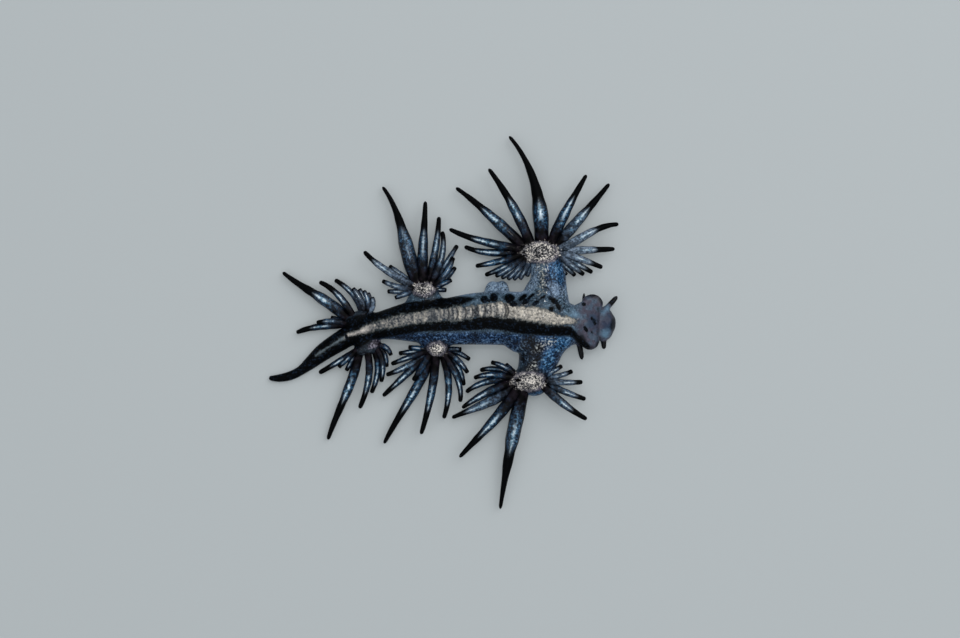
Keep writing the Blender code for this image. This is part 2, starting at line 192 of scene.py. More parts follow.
def between(first, last, count):
    """A run of cerata whose sizes and headings pass evenly from the first to the last."""
    steps = [step / (count - 1) for step in range(count)]
    return [Ceras(*(a + (b - a) * step for a, b in zip(first, last))) for step in steps]


FANS = {
    "front_right": [
        Ceras(89, 105, 130, 12.6, 1.72, 0.38, 0.0, 1.0, 0.30),
        Ceras(112, 119, 126, 9.5, 1.15, 0.59),
        Ceras(138, 138, 144, 10.1, 1.25, 0.64),
        Ceras(168, 166, 153, 8.5, 0.95, 0.69),
        Ceras(184, 178, 156, 6.5, 0.90, 0.81),
        Ceras(204, 194, 190, 5.4, 0.75, 0.86),
        Ceras(217, 207, 200, 4.8, 0.70, 0.88),
        *between(
            Ceras(225, 214, 208, 3.9, 0.62, 0.93, 0.15, 0.7),
            Ceras(248, 242, 240, 2.4, 0.52, 0.97, 0.2, 0.5), 5
        ),
        Ceras(254, 250, 249, 1.8, 0.52, 0.97, 0.2, 0.5),
        Ceras(69, 62, 60, 8.5, 1.15, 0.66),
        Ceras(50, 49, 51, 9.1, 1.20, 0.61, 0.25),
        Ceras(21, 29, 2, 7.2, 0.95, 0.67, 0.8),
        Ceras(2, 2, 3, 6.1, 0.90, 0.70, 0.9),
        Ceras(-14, -20, -22, 5.0, 0.75, 0.77, 0.7),
        *between(Ceras(-28, -29, -29, 4.2, 0.65, 0.82, 0.6), Ceras(-60, -53, -51, 2.2, 0.55, 0.92, 0.2), 4),
    ],
    "front_left": [
        Ceras(-103, -101, -98, 13.6, 1.60, 0.54, 0.1, 0.75, -0.10),
        Ceras(-119, -132, -132, 10.1, 1.25, 0.68, 0.0, 0.9, -0.10),
        Ceras(-137, -155, -156, 7.8, 1.25, 0.80, 0.3, 0.6, -0.05),
        Ceras(-161, -153, -143, 6.2, 0.95, 0.88),
        Ceras(-182, -166, -141, 5.3, 0.80, 0.86),
        Ceras(-196, -181, -158, 4.2, 0.70, 0.86),
        Ceras(-212, -190, -161, 3.7, 0.62, 0.86),
        Ceras(-224, -206, -192, 2.8, 0.58, 0.85),
        Ceras(-228, -225, -225, 1.3, 0.55, 0.85),
        Ceras(-45, -38, -29, 6.1, 0.95, 0.71, 0.15),
        Ceras(-26, -22, -17, 4.8, 0.75, 0.81, 0.2),
        Ceras(-8, -2, 4, 4.0, 0.65, 0.83, 0.4),
        Ceras(9, 16, 22, 3.0, 0.58, 0.84, 0.4),
        Ceras(30, 31, 31, 2.1, 0.55, 0.85, 0.2),
    ],
    "middle_right": [
        Ceras(114, 105, 126, 11.6, 1.66, 0.58, 0.1, 0.2),
        Ceras(94, 87, 89, 9.0, 1.15, 0.67, 0.0, 0.5),
        Ceras(76, 80, 88, 7.4, 0.85, 0.79, 0.1, 0.5),
        Ceras(62, 76, 101, 6.0, 0.72, 0.85, 0.15, 0.6),
        Ceras(55, 58, 58, 5.1, 0.62, 0.88, 0.15, 0.5),
        Ceras(39, 56, 73, 3.8, 0.60, 0.88, 0.15, 0.4),
        Ceras(30, 44, 57, 3.1, 0.60, 0.90, 0.0, 0.4),
        Ceras(22, 24, 25, 1.9, 0.55, 0.90, 0.0, 0.4),
        Ceras(-4, -4, -4, 1.1, 0.55, 0.90, 0.0, 0.4),
        Ceras(150, 147, 132, 6.8, 0.85, 0.80, 0.55, 0.8),
        Ceras(140, 142, 143, 3.5, 0.62, 0.90, 0.4, 0.7),
        *between(
            Ceras(178, 165, 153, 3.5, 0.62, 0.90, 0.3, 0.7),
            Ceras(202, 201, 201, 2.1, 0.60, 0.92, 0.2, 0.7), 3
        ),
    ],
    "middle_left": [
        Ceras(-111, -121, -117, 11.2, 1.08, 0.63),
        Ceras(-94, -101, -107, 8.8, 0.95, 0.71),
        Ceras(-68, -89, -108, 7.1, 0.80, 0.80),
        Ceras(-57, -68, -98, 5.6, 0.68, 0.87),
        Ceras(-41, -61, -85, 4.1, 0.62, 0.86),
        Ceras(-29, -46, -59, 3.2, 0.60, 0.86),
        Ceras(-7, -24, -38, 2.6, 0.56, 0.86),
        Ceras(4, 0, -1, 1.4, 0.55, 0.86),
        Ceras(-136, -137, -137, 6.9, 0.85, 0.80),
        Ceras(-122, -123, -124, 3.3, 0.80, 0.80, 0.0, 0.0),
        Ceras(-141, -153, -160, 5.2, 0.75, 0.84, 0.2),
        *between(Ceras(-162, -160, -158, 4.1, 0.62, 0.85), Ceras(-188, -186, -185, 1.9, 0.55, 0.86), 3),
    ],
    "rear_right": [
        Ceras(135, 148, 141, 8.9, 1.25, 0.55, 0.1, 1.2),
        Ceras(121, 133, 158, 5.2, 0.76, 0.66),
        Ceras(104, 132, 150, 4.6, 0.64, 0.80, 0.1),
        *between(Ceras(97, 119, 130, 2.7, 0.56, 0.93, 0.3), Ceras(74, 97, 112, 1.9, 0.52, 0.94, 0.1), 4),
        Ceras(58, 86, 112, 1.5, 0.55, 0.94, 0.6),
        Ceras(187, 187, 204, 5.4, 0.80, 0.71),
        Ceras(166, 180, 196, 3.0, 0.60, 0.80, 0.15),
        Ceras(157, 162, 166, 1.5, 0.55, 0.86),
    ],
    "rear_left": [
        Ceras(-100, -113, -108, 10.2, 1.05, 0.57),
        Ceras(-78, -100, -114, 6.2, 0.78, 0.73),
        Ceras(-65, -97, -114, 4.7, 0.68, 0.84),
        Ceras(-56, -86, -103, 3.6, 0.60, 0.86),
        Ceras(-43, -75, -92, 2.2, 0.56, 0.86),
        Ceras(-12, -51, -71, 1.5, 0.55, 0.86),
        Ceras(-148, -149, -151, 4.5, 0.68, 0.70),
        Ceras(-137, -137, -137, 2.3, 0.56, 0.86),
        Ceras(-118, -119, -120, 2.1, 0.56, 0.86),
    ],
}
print("cerata:", sum(len(fan) for fan in FANS.values()))

# %% [markdown]
# ## A smooth line through stations
#
# Straight lines between the stations would leave a corner at each of them. A Catmull-Rom curve passes
# through every station and keeps its direction there, and it smooths widths and heights as well as
# places, so the whole body swells and tapers without a kink.

# %% Smooth lines
SAMPLES = 24         # points on the curve between two stations


def smooth_line(stations):
    """Distances along a smooth curve through the stations, and its dense rows."""
    rows = np.array(stations, float)
    padded = np.vstack([2 * rows[0] - rows[1], rows, 2 * rows[-1] - rows[-2]])
    dense = []
    for before, here, there, after in zip(padded, padded[1:], padded[2:], padded[3:]):
        for t in np.arange(SAMPLES) / SAMPLES:
            dense.append(0.5 * (
                2 * here + (there - before) * t
                + (2 * before - 5 * here + 4 * there - after) * t ** 2
                + (3 * here - before - 3 * there + after) * t ** 3
            ))
    dense = np.array([*dense, rows[-1]])
    steps = np.linalg.norm(np.diff(dense[:, :2], axis=0), axis=1)
    return np.concatenate([[0.0], np.cumsum(steps)]), dense


body_distance, _ = smooth_line(BODY)
print("length along the body in mm:", round(body_distance[-1], 1))

# %% [markdown]
# ## Rings drawn along a line
#
# The trunk, the arms and the front of the foot are all tubes of changing section. Each starts as one
# circle, which is extruded ring by ring along its line, and every new ring is set out to the section
# wanted there. The body's section is an oval that is flat where it lies on the floor. The foot's is
# a thin sheet with a round rim.

# %% Tubes of changing section
FLAT_LEVEL = 0.44    # height of an oval's middle, as a share of the oval's height
LOOK = 0.1           # how far before and behind a ring its heading is read
BODY_SIDES = 44
ARM_SIDES = 36
RING_STEP = 0.4      # from one ring to the next


def oval_section(row, turn):
    """Across and up, at this turn round an oval that lies on the floor."""
    _, _, half_width, height = row
    up = FLAT_LEVEL * height + (1 - FLAT_LEVEL) * height * math.sin(turn)
    return half_width * math.cos(turn), max(up, 0.0)


def extruded_ring(ring, made):
    """The new ring that an extrusion made, in the order of the old one."""
    fresh = {item for item in made if isinstance(item, bmesh.types.BMVert)}
    return [
        next(edge.other_vert(vert) for edge in vert.link_edges if edge.other_vert(vert) in fresh)
        for vert in ring
    ]


def tube(stations, section, sides, ring_step):
    """A closed skin round the line through the stations."""
    distance, dense = smooth_line(stations)
    bm = bmesh.new()
    ring = list(bmesh.ops.create_circle(bm, segments=sides, radius=1.0)["verts"])
    for number, where in enumerate(np.arange(0.0, distance[-1] + ring_step, ring_step)):
        where = min(where, distance[-1])
        if number:
            loop = [edge for edge in bm.edges if all(vert in ring for vert in edge.verts)]
            ring = extruded_ring(ring, bmesh.ops.extrude_edge_only(bm, edges=loop)["geom"])
        row = [np.interp(where, distance, column) for column in dense.T]
        ahead = [np.interp(where + LOOK, distance, column) for column in dense.T[:2]]
        behind = [np.interp(where - LOOK, distance, column) for column in dense.T[:2]]
        heading = Vector((ahead[0] - behind[0], ahead[1] - behind[1])).normalized()
        for side, vert in enumerate(ring):
            across, up = section(row, 2 * math.pi * side / sides)
            vert.co = (row[0] - heading.y * across, row[1] + heading.x * across, up)
    bmesh.ops.holes_fill(bm, edges=bm.edges)
    bmesh.ops.recalc_face_normals(bm, faces=bm.faces)
    return bm


flesh = [tube(BODY, oval_section, BODY_SIDES, RING_STEP)]
flesh += [tube(stations, oval_section, ARM_SIDES, RING_STEP) for stations in ARMS.values()]
print("tubes:", len(flesh), "rings of the body:", len(flesh[0].verts) // BODY_SIDES)

# %% [markdown]
# ## Cushions, flaps and feelers
#
# The hubs are round cushions on the floor. Two small soft humps stand close together on the right
# flank, and a small bulge shows beyond the front left hub. At the front the foot spreads into a thin
# sheet with two round corners, which hangs over the neck like a collar. Two short oral tentacles stand
# beside the mouth, and two rhinophores, which smell the water, on the back of the neck. Spheres and a
# spun profile make most of them, because each is round in section.

# %% Round parts
FOOT_FRONT = (        # x, y, half width and level of the sheet
    (14.3, 0.05, 1.75, 3.05),
    (15.3, 0.00, 2.35, 2.92),
    (16.1, -0.05, 2.80, 2.80),
    (16.8, 0.00, 2.90, 2.70),
    (17.25, 0.02, 2.70, 2.62),
    (17.45, 0.00, 2.45, 2.58),
)
FOOT_SHEET_HALF_THICKNESS = 0.24
SHEET_STEP = 0.3      # from one ring of the sheet to the next
SHEET_ROUNDING = 0.6  # at 1 its section would be an oval, and lower values fill the corners
FOOT_CORNERS = (      # x, y, level and half sizes
    ((16.78, 2.12, 2.45), (1.28, 1.14, 0.36)),
    ((16.52, -2.06, 2.40), (1.12, 1.10, 0.36)),
)
SIDE_HUMPS = (
    Hub(5.5, 3.4, 0.95, 1.4, 2.0, 0), Hub(6.6, 3.45, 0.85, 1.4, 1.9, 0), Hub(10.3, -7.6, 1.3, 0.8, 2.6, 5),
)
Feeler = namedtuple("Feeler", "x y level length girth aim")
ORAL_TENTACLES = (Feeler(18.3, 1.45, 1.4, 2.15, 0.68, 48), Feeler(18.1, -1.55, 1.4, 1.55, 0.70, -88))
RHINOPHORES = (Feeler(15.85, 1.7, 1.1, 1.75, 0.46, 88), Feeler(15.25, -1.7, 1.0, 2.65, 0.72, -80))
FEELER_SHAPE = ((0.0, 1.0), (0.4, 0.98), (0.7, 0.92), (0.85, 0.80), (0.94, 0.58), (0.985, 0.28), (1.0, 0.0))
FEELER_SIDES = 20
BALL_SIDES = 36
BALL_RINGS = 20
SAME_PLACE = 1e-5     # points nearer than this are one


def sheet_section(row, turn):
    """Across and up, at this turn round the rim of a thin flat sheet."""
    _, _, half_width, level = row
    flat = math.copysign(abs(math.sin(turn)) ** SHEET_ROUNDING, math.sin(turn))
    wide = math.copysign(abs(math.cos(turn)) ** SHEET_ROUNDING, math.cos(turn))
    return half_width * wide, level + FOOT_SHEET_HALF_THICKNESS * flat


def ball(middle, half_sizes):
    """A sphere drawn out to an ellipsoid."""
    bm = bmesh.new()
    bmesh.ops.create_uvsphere(bm, u_segments=BALL_SIDES, v_segments=BALL_RINGS, radius=1.0)
    bmesh.ops.scale(bm, vec=Vector(half_sizes), verts=bm.verts)
    bmesh.ops.translate(bm, vec=Vector(middle), verts=bm.verts)
    return bm


def cushion(x, y, half_length, half_width, height, turn):
    """A rounded oval cushion that lies on the floor on a small flat."""
    half_height = (1 - FLAT_LEVEL) * height
    bm = ball((0, 0, FLAT_LEVEL * height), (half_length, half_width, half_height))
    for vert in bm.verts:
        vert.co.z = max(vert.co.z, 0.0)
    turned = Matrix.Rotation(math.radians(turn), 3, "Z")
    bmesh.ops.rotate(bm, cent=Vector((0, 0, 0)), matrix=turned, verts=bm.verts)
    bmesh.ops.translate(bm, vec=Vector((x, y, 0.0)), verts=bm.verts)
    return bm


def spun(profile, sides):
    """A closed finger one long and one across, its profile turned about the X axis."""
    bm = bmesh.new()
    line = [bm.verts.new((share, girth / 2, 0.0)) for share, girth in profile]
    line.insert(0, bm.verts.new((profile[0][0], 0.0, 0.0)))
    edges = [bm.edges.new(pair) for pair in zip(line, line[1:])]
    bmesh.ops.spin(
        bm, geom=line + edges, cent=Vector((0, 0, 0)), axis=Vector((1, 0, 0)),
        dvec=Vector((0, 0, 0)), angle=2 * math.pi, steps=sides, use_merge=True,
    )
    bmesh.ops.remove_doubles(bm, verts=bm.verts, dist=SAME_PLACE)
    bmesh.ops.recalc_face_normals(bm, faces=bm.faces)
    return bm


def feeler(sizes):
    """A short blunt feeler, straight and level."""
    bm = spun(FEELER_SHAPE, FEELER_SIDES)
    bmesh.ops.scale(bm, vec=Vector((sizes.length, sizes.girth, sizes.girth)), verts=bm.verts)
    turn = Matrix.Rotation(math.radians(sizes.aim), 3, "Z")
    bmesh.ops.rotate(bm, cent=Vector((0, 0, 0)), matrix=turn, verts=bm.verts)
    bmesh.ops.translate(bm, vec=Vector((sizes.x, sizes.y, sizes.level)), verts=bm.verts)
    return bm


flesh += [cushion(*hub) for hub in HUBS.values()]
flesh += [cushion(*hump) for hump in SIDE_HUMPS]
flesh.append(tube(FOOT_FRONT, sheet_section, BODY_SIDES, SHEET_STEP))
flesh += [ball(middle, half_sizes) for middle, half_sizes in FOOT_CORNERS]
flesh += [feeler(sizes) for sizes in ORAL_TENTACLES + RHINOPHORES]
print("parts of the flesh:", len(flesh))

# %% [markdown]
# ## One skin over all of it
#
# In the living animal no seam shows where an arm leaves the trunk. A Boolean union would leave a
# sharp crease at every joint, so the overlapping parts are joined and remeshed into even voxels,
# which melts them into one surface. Smoothing then rounds the steps of the voxels and fills the
# corners between the parts. The trunk gets many more rounds of it than the head and the tail, whose
# small feelers and thin tip it would wear away.

# %% Melt the parts into one skin
VOXEL = 0.1          # about the size of one point of the picture
FINE_ROUNDS = 8
BROAD_ROUNDS = 32
LAST_ROUNDS = 2
BROAD = (-11.0, 14.2)  # from here to here along x the skin is smoothed broadly


def joined(parts):
    """All the parts in one mesh, their points in the same order as before."""
    together = bmesh.new()
    for part in parts:
        mesh = bpy.data.meshes.new("part")
        part.to_mesh(mesh)
        part.free()
        together.from_mesh(mesh)
        bpy.data.meshes.remove(mesh)
    return together


def melted(parts):
    """All the parts as one closed skin of even small faces."""
    together = joined(parts)
    mesh = bpy.data.meshes.new("parts")
    together.to_mesh(mesh)
    together.free()
    thing = bpy.data.objects.new("parts", mesh)
    bpy.context.scene.collection.objects.link(thing)
    remesh = thing.modifiers.new("Voxels", "REMESH")
    remesh.mode = "VOXEL"
    remesh.voxel_size = VOXEL
    graph = bpy.context.evaluated_depsgraph_get()
    bm = bmesh.new()
    bm.from_mesh(bpy.data.meshes.new_from_object(thing.evaluated_get(graph)))
    bpy.data.objects.remove(thing)
    return bm


def smooth(bm, verts, rounds):
    for _ in range(rounds):
        bmesh.ops.smooth_vert(
            bm, verts=verts, factor=0.5, use_axis_x=True, use_axis_y=True, use_axis_z=True
        )


skin_mesh = melted(flesh)
smooth(skin_mesh, skin_mesh.verts, FINE_ROUNDS)
smooth(skin_mesh, [vert for vert in skin_mesh.verts if BROAD[0] < vert.co.x < BROAD[1]], BROAD_ROUNDS)
smooth(skin_mesh, skin_mesh.verts, LAST_ROUNDS)
print("points of the skin:", len(skin_mesh.verts))

# %% [markdown]
# ## Where each mark lies
#
# The foot is a cream stripe with cross folds, offset to the animal's right because the body is rolled
# a little. Black bands run beside it, black blotches lie on the right flank, and each hub carries a
# granular cream patch. They could be painted into an image, but an image blurs close by and needs
# unfolding. Here each kind of mark is a field: every point of the skin stores how deep it lies inside
# the mark, in millimetres, and the finish later roughens its edge. The lines and ovals that make the
# fields are stated in plan, in the same frame as the body.

# %% Marks as lines and ovals
FOOT_STRIPE = (       # x, y and half width
    (-14.6, -3.75, 0.08), (-14.0, -3.31, 0.18), (-12.8, -2.59, 0.20), (-11.5, -1.81, 0.21),
    (-10.87, -1.45, 0.25), (-9.43, -1.06, 0.37), (-8.13, -0.57, 0.55), (-6.83, -0.19, 0.60),
    (-4.98, 0.20, 0.72), (-2.72, 0.60, 0.73), (-0.45, 0.86, 0.80), (1.8, 1.04, 0.86),
    (2.9, 1.14, 0.76), (4.75, 1.44, 0.82), (6.45, 1.44, 0.93), (8.3, 1.12, 0.84),
    (9.96, 0.97, 0.92), (11.66, 0.66, 0.83), (12.8, 0.34, 0.63), (13.98, 0.23, 0.51),
    (14.8, 0.20, 0.30),
)
LEFT_BAND = (
    (-8.15, -1.54, 0.38), (-6.7, -1.18, 0.53), (-4.98, -0.93, 0.50), (-2.7, -0.50, 0.58),
    (-0.45, -0.38, 0.64), (2.94, -0.20, 0.70), (4.75, 0.01, 0.78), (6.45, -0.10, 0.79),
    (8.3, -0.38, 0.85), (9.96, -0.60, 0.79), (11.66, -0.82, 0.68), (12.8, -0.87, 0.63),
    (13.9, -0.94, 0.57), (14.24, -1.05, 0.45), (14.9, -1.55, 0.36), (15.57, -2.25, 0.42),
    (16.24, -2.80, 0.32),
)
RIGHT_BAND = (
    (-8.0, 0.5, 1.1), (-6.5, 0.8, 1.05), (-5.0, 1.35, 0.85), (-2.7, 1.72, 0.74), (-0.45, 2.10, 0.70),
    (1.2, 2.35, 0.60), (2.4, 2.55, 0.38), (3.4, 2.7, 0.12),
)
TAIL_BLACK = (
    (-20.0, -6.3, 1.5), (-16.3, -5.45, 1.6), (-13.8, -3.4, 1.8), (-11.8, -2.1, 1.8), (-9.5, -0.85, 1.7),
    (-8.4, -0.3, 1.2),
)
BLUE_FLANK = (
    (-8.0, -2.3, 0.6), (-5.0, -2.3, 1.2), (0.0, -2.6, 1.5), (4.0, -2.6, 1.6), (8.0, -2.9, 1.7),
    (12.0, -3.2, 1.9), (14.6, -2.6, 0.9),
)
# Ovals: x, y, half length, half width and how far the length is turned from +X.
BLUE_OVALS = (
    (11.3, -4.2, 2.3, 2.4, 0), (12.6, 5.2, 1.4, 2.4, 0), (10.6, -7.9, 1.4, 0.7, 5),
)
BRIGHT_BLUE_OVALS = (
    (11.7, -4.3, 0.7, 1.3, -25), (12.8, 5.6, 0.8, 1.4, 10), (10.6, -8.1, 1.1, 0.35, 5),
    (13.2, -2.7, 1.2, 0.6, -10), (12.9, -2.1, 1.4, 0.5, -5),
)
MOTTLED_OVALS = ((9.8, -3.4, 1.4, 2.0, 0), (9.0, 2.2, 1.0, 0.3, 0))
PALE_OVALS = ((12.7, 3.6, 1.1, 0.7, -35), (14.2, 2.4, 0.6, 0.3, -10))
PALE_LINE = (         # the clear edge of the hump and of the bay behind the arm
    (4.3, 3.7, 0.3), (5.6, 4.2, 0.7), (7.0, 4.0, 0.6), (8.2, 3.5, 0.35), (9.4, 3.8, 0.6), (10.2, 5.0, 0.6),
    (10.4, 6.2, 0.5),
)
BLOTCHES = (
    (4.55, 2.66, 0.46, 0.40, 0), (5.05, 2.50, 0.26, 0.18, 0), (5.60, 2.82, 0.44, 0.54, 0),
    (7.38, 2.75, 0.62, 0.50, 0), (7.90, 2.13, 0.48, 0.30, 0), (8.90, 2.83, 0.68, 0.28, 40),
    (9.20, 2.35, 0.50, 0.25, 40), (9.76, 2.91, 0.50, 0.18, 40), (10.43, 2.27, 0.44, 0.20, 35),
    (11.1, 2.80, 0.44, 0.19, 35), (12.35, 2.48, 0.64, 0.30, -35), (12.95, 1.72, 0.56, 0.28, -65),
    (12.17, 1.55, 0.38, 0.28, 0), (15.82, 2.05, 0.24, 0.22, 0), (16.70, 0.45, 0.14, 0.18, 0),
    (17.05, -0.05, 0.18, 0.36, 25), (16.02, -0.80, 0.44, 0.22, -65), (16.68, -1.02, 0.20, 0.10, -60),
    (-11.05, -1.60, 0.13, 0.50, 30), (8.25, -6.5, 0.40, 0.25, 0),
)
PATCHES = (
    (10.85, 7.97, 2.32, 1.27, 0), (9.60, -6.70, 2.05, 1.15, 0), (-2.30, 3.80, 1.34, 0.87, 0),
    (-0.80, -3.02, 1.10, 0.85, 0),
)
DULL_PATCHES = ((-9.1, 0.70, 0.75, 0.20, 15), (-7.85, -2.42, 0.66, 0.34, 25), (-13.2, -3.75, 0.35, 0.10, 40))
SPECK_TRAILS = (
    ((11.1, 6.9, 0.55), (11.2, 5.4, 0.42), (11.2, 3.9, 0.32), (10.9, 3.2, 0.20)),
    ((9.9, -5.7, 0.50), (10.1, -4.9, 0.30), (10.2, -4.4, 0.05)),
    ((10.2, -3.2, 0.10), (11.0, -2.7, 0.35), (11.7, -2.3, 0.50), (12.3, -2.1, 0.25)),
)
DIM_OVALS = (         # darker places on the head and on the foot's front corners
    (19.4, -0.25, 0.54, 1.20, 0), (19.15, 0.85, 0.22, 0.6, 25), (19.15, -1.3, 0.22, 0.6, -25),
    (16.95, 3.05, 0.95, 0.30, -8), (17.75, 2.5, 0.28, 0.7, 25),
    (16.2, -2.95, 0.9, 0.32, 10), (17.4, -2.5, 0.25, 0.6, -20), (15.7, -1.9, 0.4, 0.8, 30),
    # The collar's front edge: its own dark rim and the painted shadow it casts on the head.
    (17.45, 0.0, 0.10, 1.6, 0),
)
TEAL_OVALS = ((18.3, -1.35, 0.55, 0.42, 10), (18.45, 1.45, 0.40, 0.25, 40), (14.7, 0.9, 0.7, 0.3, 0))
NAVY_OVALS = ((16.9, 0.1, 0.7, 1.1, 0), (18.5, -0.1, 0.75, 1.3, 0))
# The creases across the foot: x and depth as a share of the deepest.
FOLDS = (
    (-8.5, 0.3), (-7.4, 0.35), (-6.2, 0.3), (-4.9, 0.4), (-3.6, 0.3), (-2.4, 0.4), (-1.3, 0.5),
    (-0.4, 0.5), (0.57, 0.8), (1.57, 0.8), (2.49, 0.8), (3.28, 0.7), (3.94, 0.6), (4.64, 0.7),
    (5.32, 0.6), (6.0, 0.6), (7.0, 0.9), (7.25, 1.0), (9.49, 0.4), (11.1, 0.3), (12.3, 0.35),
)
print("blotches:", len(BLOTCHES), "folds:", len(FOLDS))

# %% [markdown]
# ## Measuring the skin against the marks
#
# A field needs only the distance in plan from a point to a line or to an oval, so all points are
# measured at once as arrays. A line becomes a row of circles along its smooth curve, and a point is as
# deep inside the band as it is inside the nearest circle. Three fields come from the shape itself: how
# far forward a point lies, and how far its normal leans out to the side and down to the back.

# %% Measure every point of the skin
OUTSIDE = -3.0        # no field says more than this far outside, in millimetres
EVERY = 3             # one in this many samples of a line gets a circle
FEELER_FROM = 0.35    # a feeler is black from this share of its length on
FEELER_REACH = 0.55   # a point further than this from a feeler's line isn't part of it
ORAL_TOP = 2.4        # nor is one above these levels
RHINOPHORE_TOP = 1.7
DIM_ABOVE = 1.5       # the dark places of the head stay above this level
HEAD = (14.2, 15.9)   # the head's colour begins here and is complete there
SIDES = (-0.75, -0.2)  # downward share of a normal, from the belly to the sides
BACK = (-0.05, 0.45)   # the same, from the sides to the back


def smooth_step(values, low, high):
    share = np.clip((values - low) / (high - low), 0.0, 1.0)
    return share * share * (3 - 2 * share)


def inside_line(points, stations):
    """How deep each point lies inside a band round a line, seen in plan."""
    depth = np.full(len(points), OUTSIDE)
    for x, y, half_width in smooth_line(stations)[1][::EVERY]:
        depth = np.maximum(depth, half_width - np.hypot(points[:, 0] - x, points[:, 1] - y))
    return depth


def inside_ovals(points, ovals):
    """How deep each point lies inside the nearest of these ovals, seen in plan."""
    depth = np.full(len(points), OUTSIDE)
    for x, y, half_length, half_width, turn in ovals:
        cos, sin = math.cos(math.radians(turn)), math.sin(math.radians(turn))
        along = (points[:, 0] - x) * cos + (points[:, 1] - y) * sin
        across = (points[:, 1] - y) * cos - (points[:, 0] - x) * sin
        reach = 1 - np.hypot(along / half_length, across / half_width)
        depth = np.maximum(depth, reach * min(half_length, half_width))
    return depth


def inside_feelers(points, feelers, top):
    """How far along its feeler each point lies, as a depth that starts just outside the body."""
    depth = np.full(len(points), OUTSIDE)
    for sizes in feelers:
        way = np.array([math.cos(math.radians(sizes.aim)), math.sin(math.radians(sizes.aim))])
        apart = points[:, :2] - np.array([sizes.x, sizes.y])
        along = apart @ way
        across = np.abs(apart @ np.array([-way[1], way[0]]))
        near = np.minimum(FEELER_REACH - across, top - points[:, 2])
        depth = np.maximum(depth, np.minimum(along - FEELER_FROM * sizes.length, near))
    return depth


skin_mesh.normal_update()
points = np.array([vert.co for vert in skin_mesh.verts])
normals = np.array([vert.normal for vert in skin_mesh.verts])
tips = inside_feelers(points, ORAL_TENTACLES, ORAL_TOP), inside_feelers(points, RHINOPHORES, RHINOPHORE_TOP)
marks = {
    "stripe": inside_line(points, FOOT_STRIPE),
    "band": np.maximum.reduce([inside_line(points, line) for line in (LEFT_BAND, RIGHT_BAND, TAIL_BLACK)]),
    "blotch": inside_ovals(points, BLOTCHES),
    "patch": inside_ovals(points, PATCHES),
    "trail": np.maximum.reduce([inside_line(points, line) for line in SPECK_TRAILS]),
    "blue": np.maximum(inside_line(points, BLUE_FLANK), inside_ovals(points, BLUE_OVALS)),
    "bright": inside_ovals(points, BRIGHT_BLUE_OVALS),
    "mottled": inside_ovals(points, MOTTLED_OVALS),
    "rim": inside_ovals(points, [hub[:4] + hub[5:] for hub in HUBS.values()]),
    "pale": np.maximum(inside_line(points, PALE_LINE), inside_ovals(points, PALE_OVALS)),
    "dull": inside_ovals(points, DULL_PATCHES),
    "dim": np.minimum(inside_ovals(points, DIM_OVALS), points[:, 2] - DIM_ABOVE),
    "navy": inside_ovals(points, NAVY_OVALS),
    "teal": inside_ovals(points, TEAL_OVALS),
    "tip": np.maximum(*tips),
    "head": smooth_step(points[:, 0], *HEAD),
    "slope": smooth_step(-normals[:, 2], *SIDES),
    "back": smooth_step(-normals[:, 2], *BACK),
}
for name, values in marks.items():
    print(f"{name:8} inside on {np.mean(values > 0.0):.0%} of the skin")

# %% [markdown]
# ## Folds, granules and the mouth
#
# Marks alone would lie on the skin like print. The foot of a slug is a muscle that ripples, so its
# edge is a shallow furrow and creases cross it. The hubs are granular, and the mouth is a short level
# slit with soft lips. Each point moves along its own normal by a fraction of a millimetre, which is
# as sculpting would do it, and stays well inside the size of the animal.

# %% Sculpt the skin
FURROW_DEPTH = 0.09
FURROW_WIDTH = 0.15
FOLD_DEPTH = 0.12
FOLD_WIDTH = 0.13
FOLD_BOW = 0.30       # how far the middle of a crease lies ahead of its ends
GRANULE_HEIGHT = 0.07
GRANULES_PER_MM = 2.6
MOUTH = Vector((19.45, -0.10, 1.05))
MOUTH_HALF_WIDTH = 0.75
MOUTH_DEPTH = 0.30
MOUTH_FROM = 0.9      # how far behind the front of the head its effect begins, and is complete
MOUTH_WHOLE = 0.4
SLIT_WIDTH = 0.13
LIP_HEIGHT = 0.05
LIP_WIDTH = 0.2
LIP_PLACE = 0.34      # how far each lip lies above or below the slit
ON_TOP = (0.2, 0.7)   # upward share of a normal, from beside the foot to on it
FOOT_EDGE = (-0.05, 0.15)  # the creases come up between these depths inside the stripe
PATCH_EDGE = (-0.3, 0.3)   # and the granules between these inside a patch


def bell(values, width):
    return np.exp(-(values / width) ** 2)


def grain(points, per_mm):
    """Smooth random values between -1 and 1 over the skin."""
    return np.array([noise.noise(Vector(point) * per_mm) for point in points])


facing = smooth_step(normals[:, 2], *ON_TOP)
on_foot = smooth_step(marks["stripe"], *FOOT_EDGE) * facing
stripe_x, *stripe_columns = zip(*FOOT_STRIPE)
stripe_y, stripe_half = (np.interp(points[:, 0], stripe_x, column) for column in stripe_columns)
bowed = points[:, 0] + FOLD_BOW * ((points[:, 1] - stripe_y) / stripe_half) ** 2
crease = np.zeros(len(points))
for x, share in FOLDS:
    crease = np.maximum(crease, share * bell(bowed - x, FOLD_WIDTH))
marks["crease"] = crease * on_foot
lift = -FURROW_DEPTH * bell(marks["stripe"], FURROW_WIDTH) * facing
lift -= FOLD_DEPTH * marks["crease"]
lift += GRANULE_HEIGHT * grain(points, GRANULES_PER_MM) * smooth_step(marks["patch"], *PATCH_EDGE)
sculpted = points + normals * lift[:, None]
slit = bell(points[:, 2] - MOUTH.z, SLIT_WIDTH)
lips = bell(np.abs(points[:, 2] - MOUTH.z) - LIP_PLACE, LIP_WIDTH)
at_mouth = smooth_step(points[:, 0], MOUTH.x - MOUTH_FROM, MOUTH.x - MOUTH_WHOLE)
at_mouth *= bell(points[:, 1] - MOUTH.y, MOUTH_HALF_WIDTH)
sculpted[:, 0] += (LIP_HEIGHT * lips - MOUTH_DEPTH * slit) * at_mouth
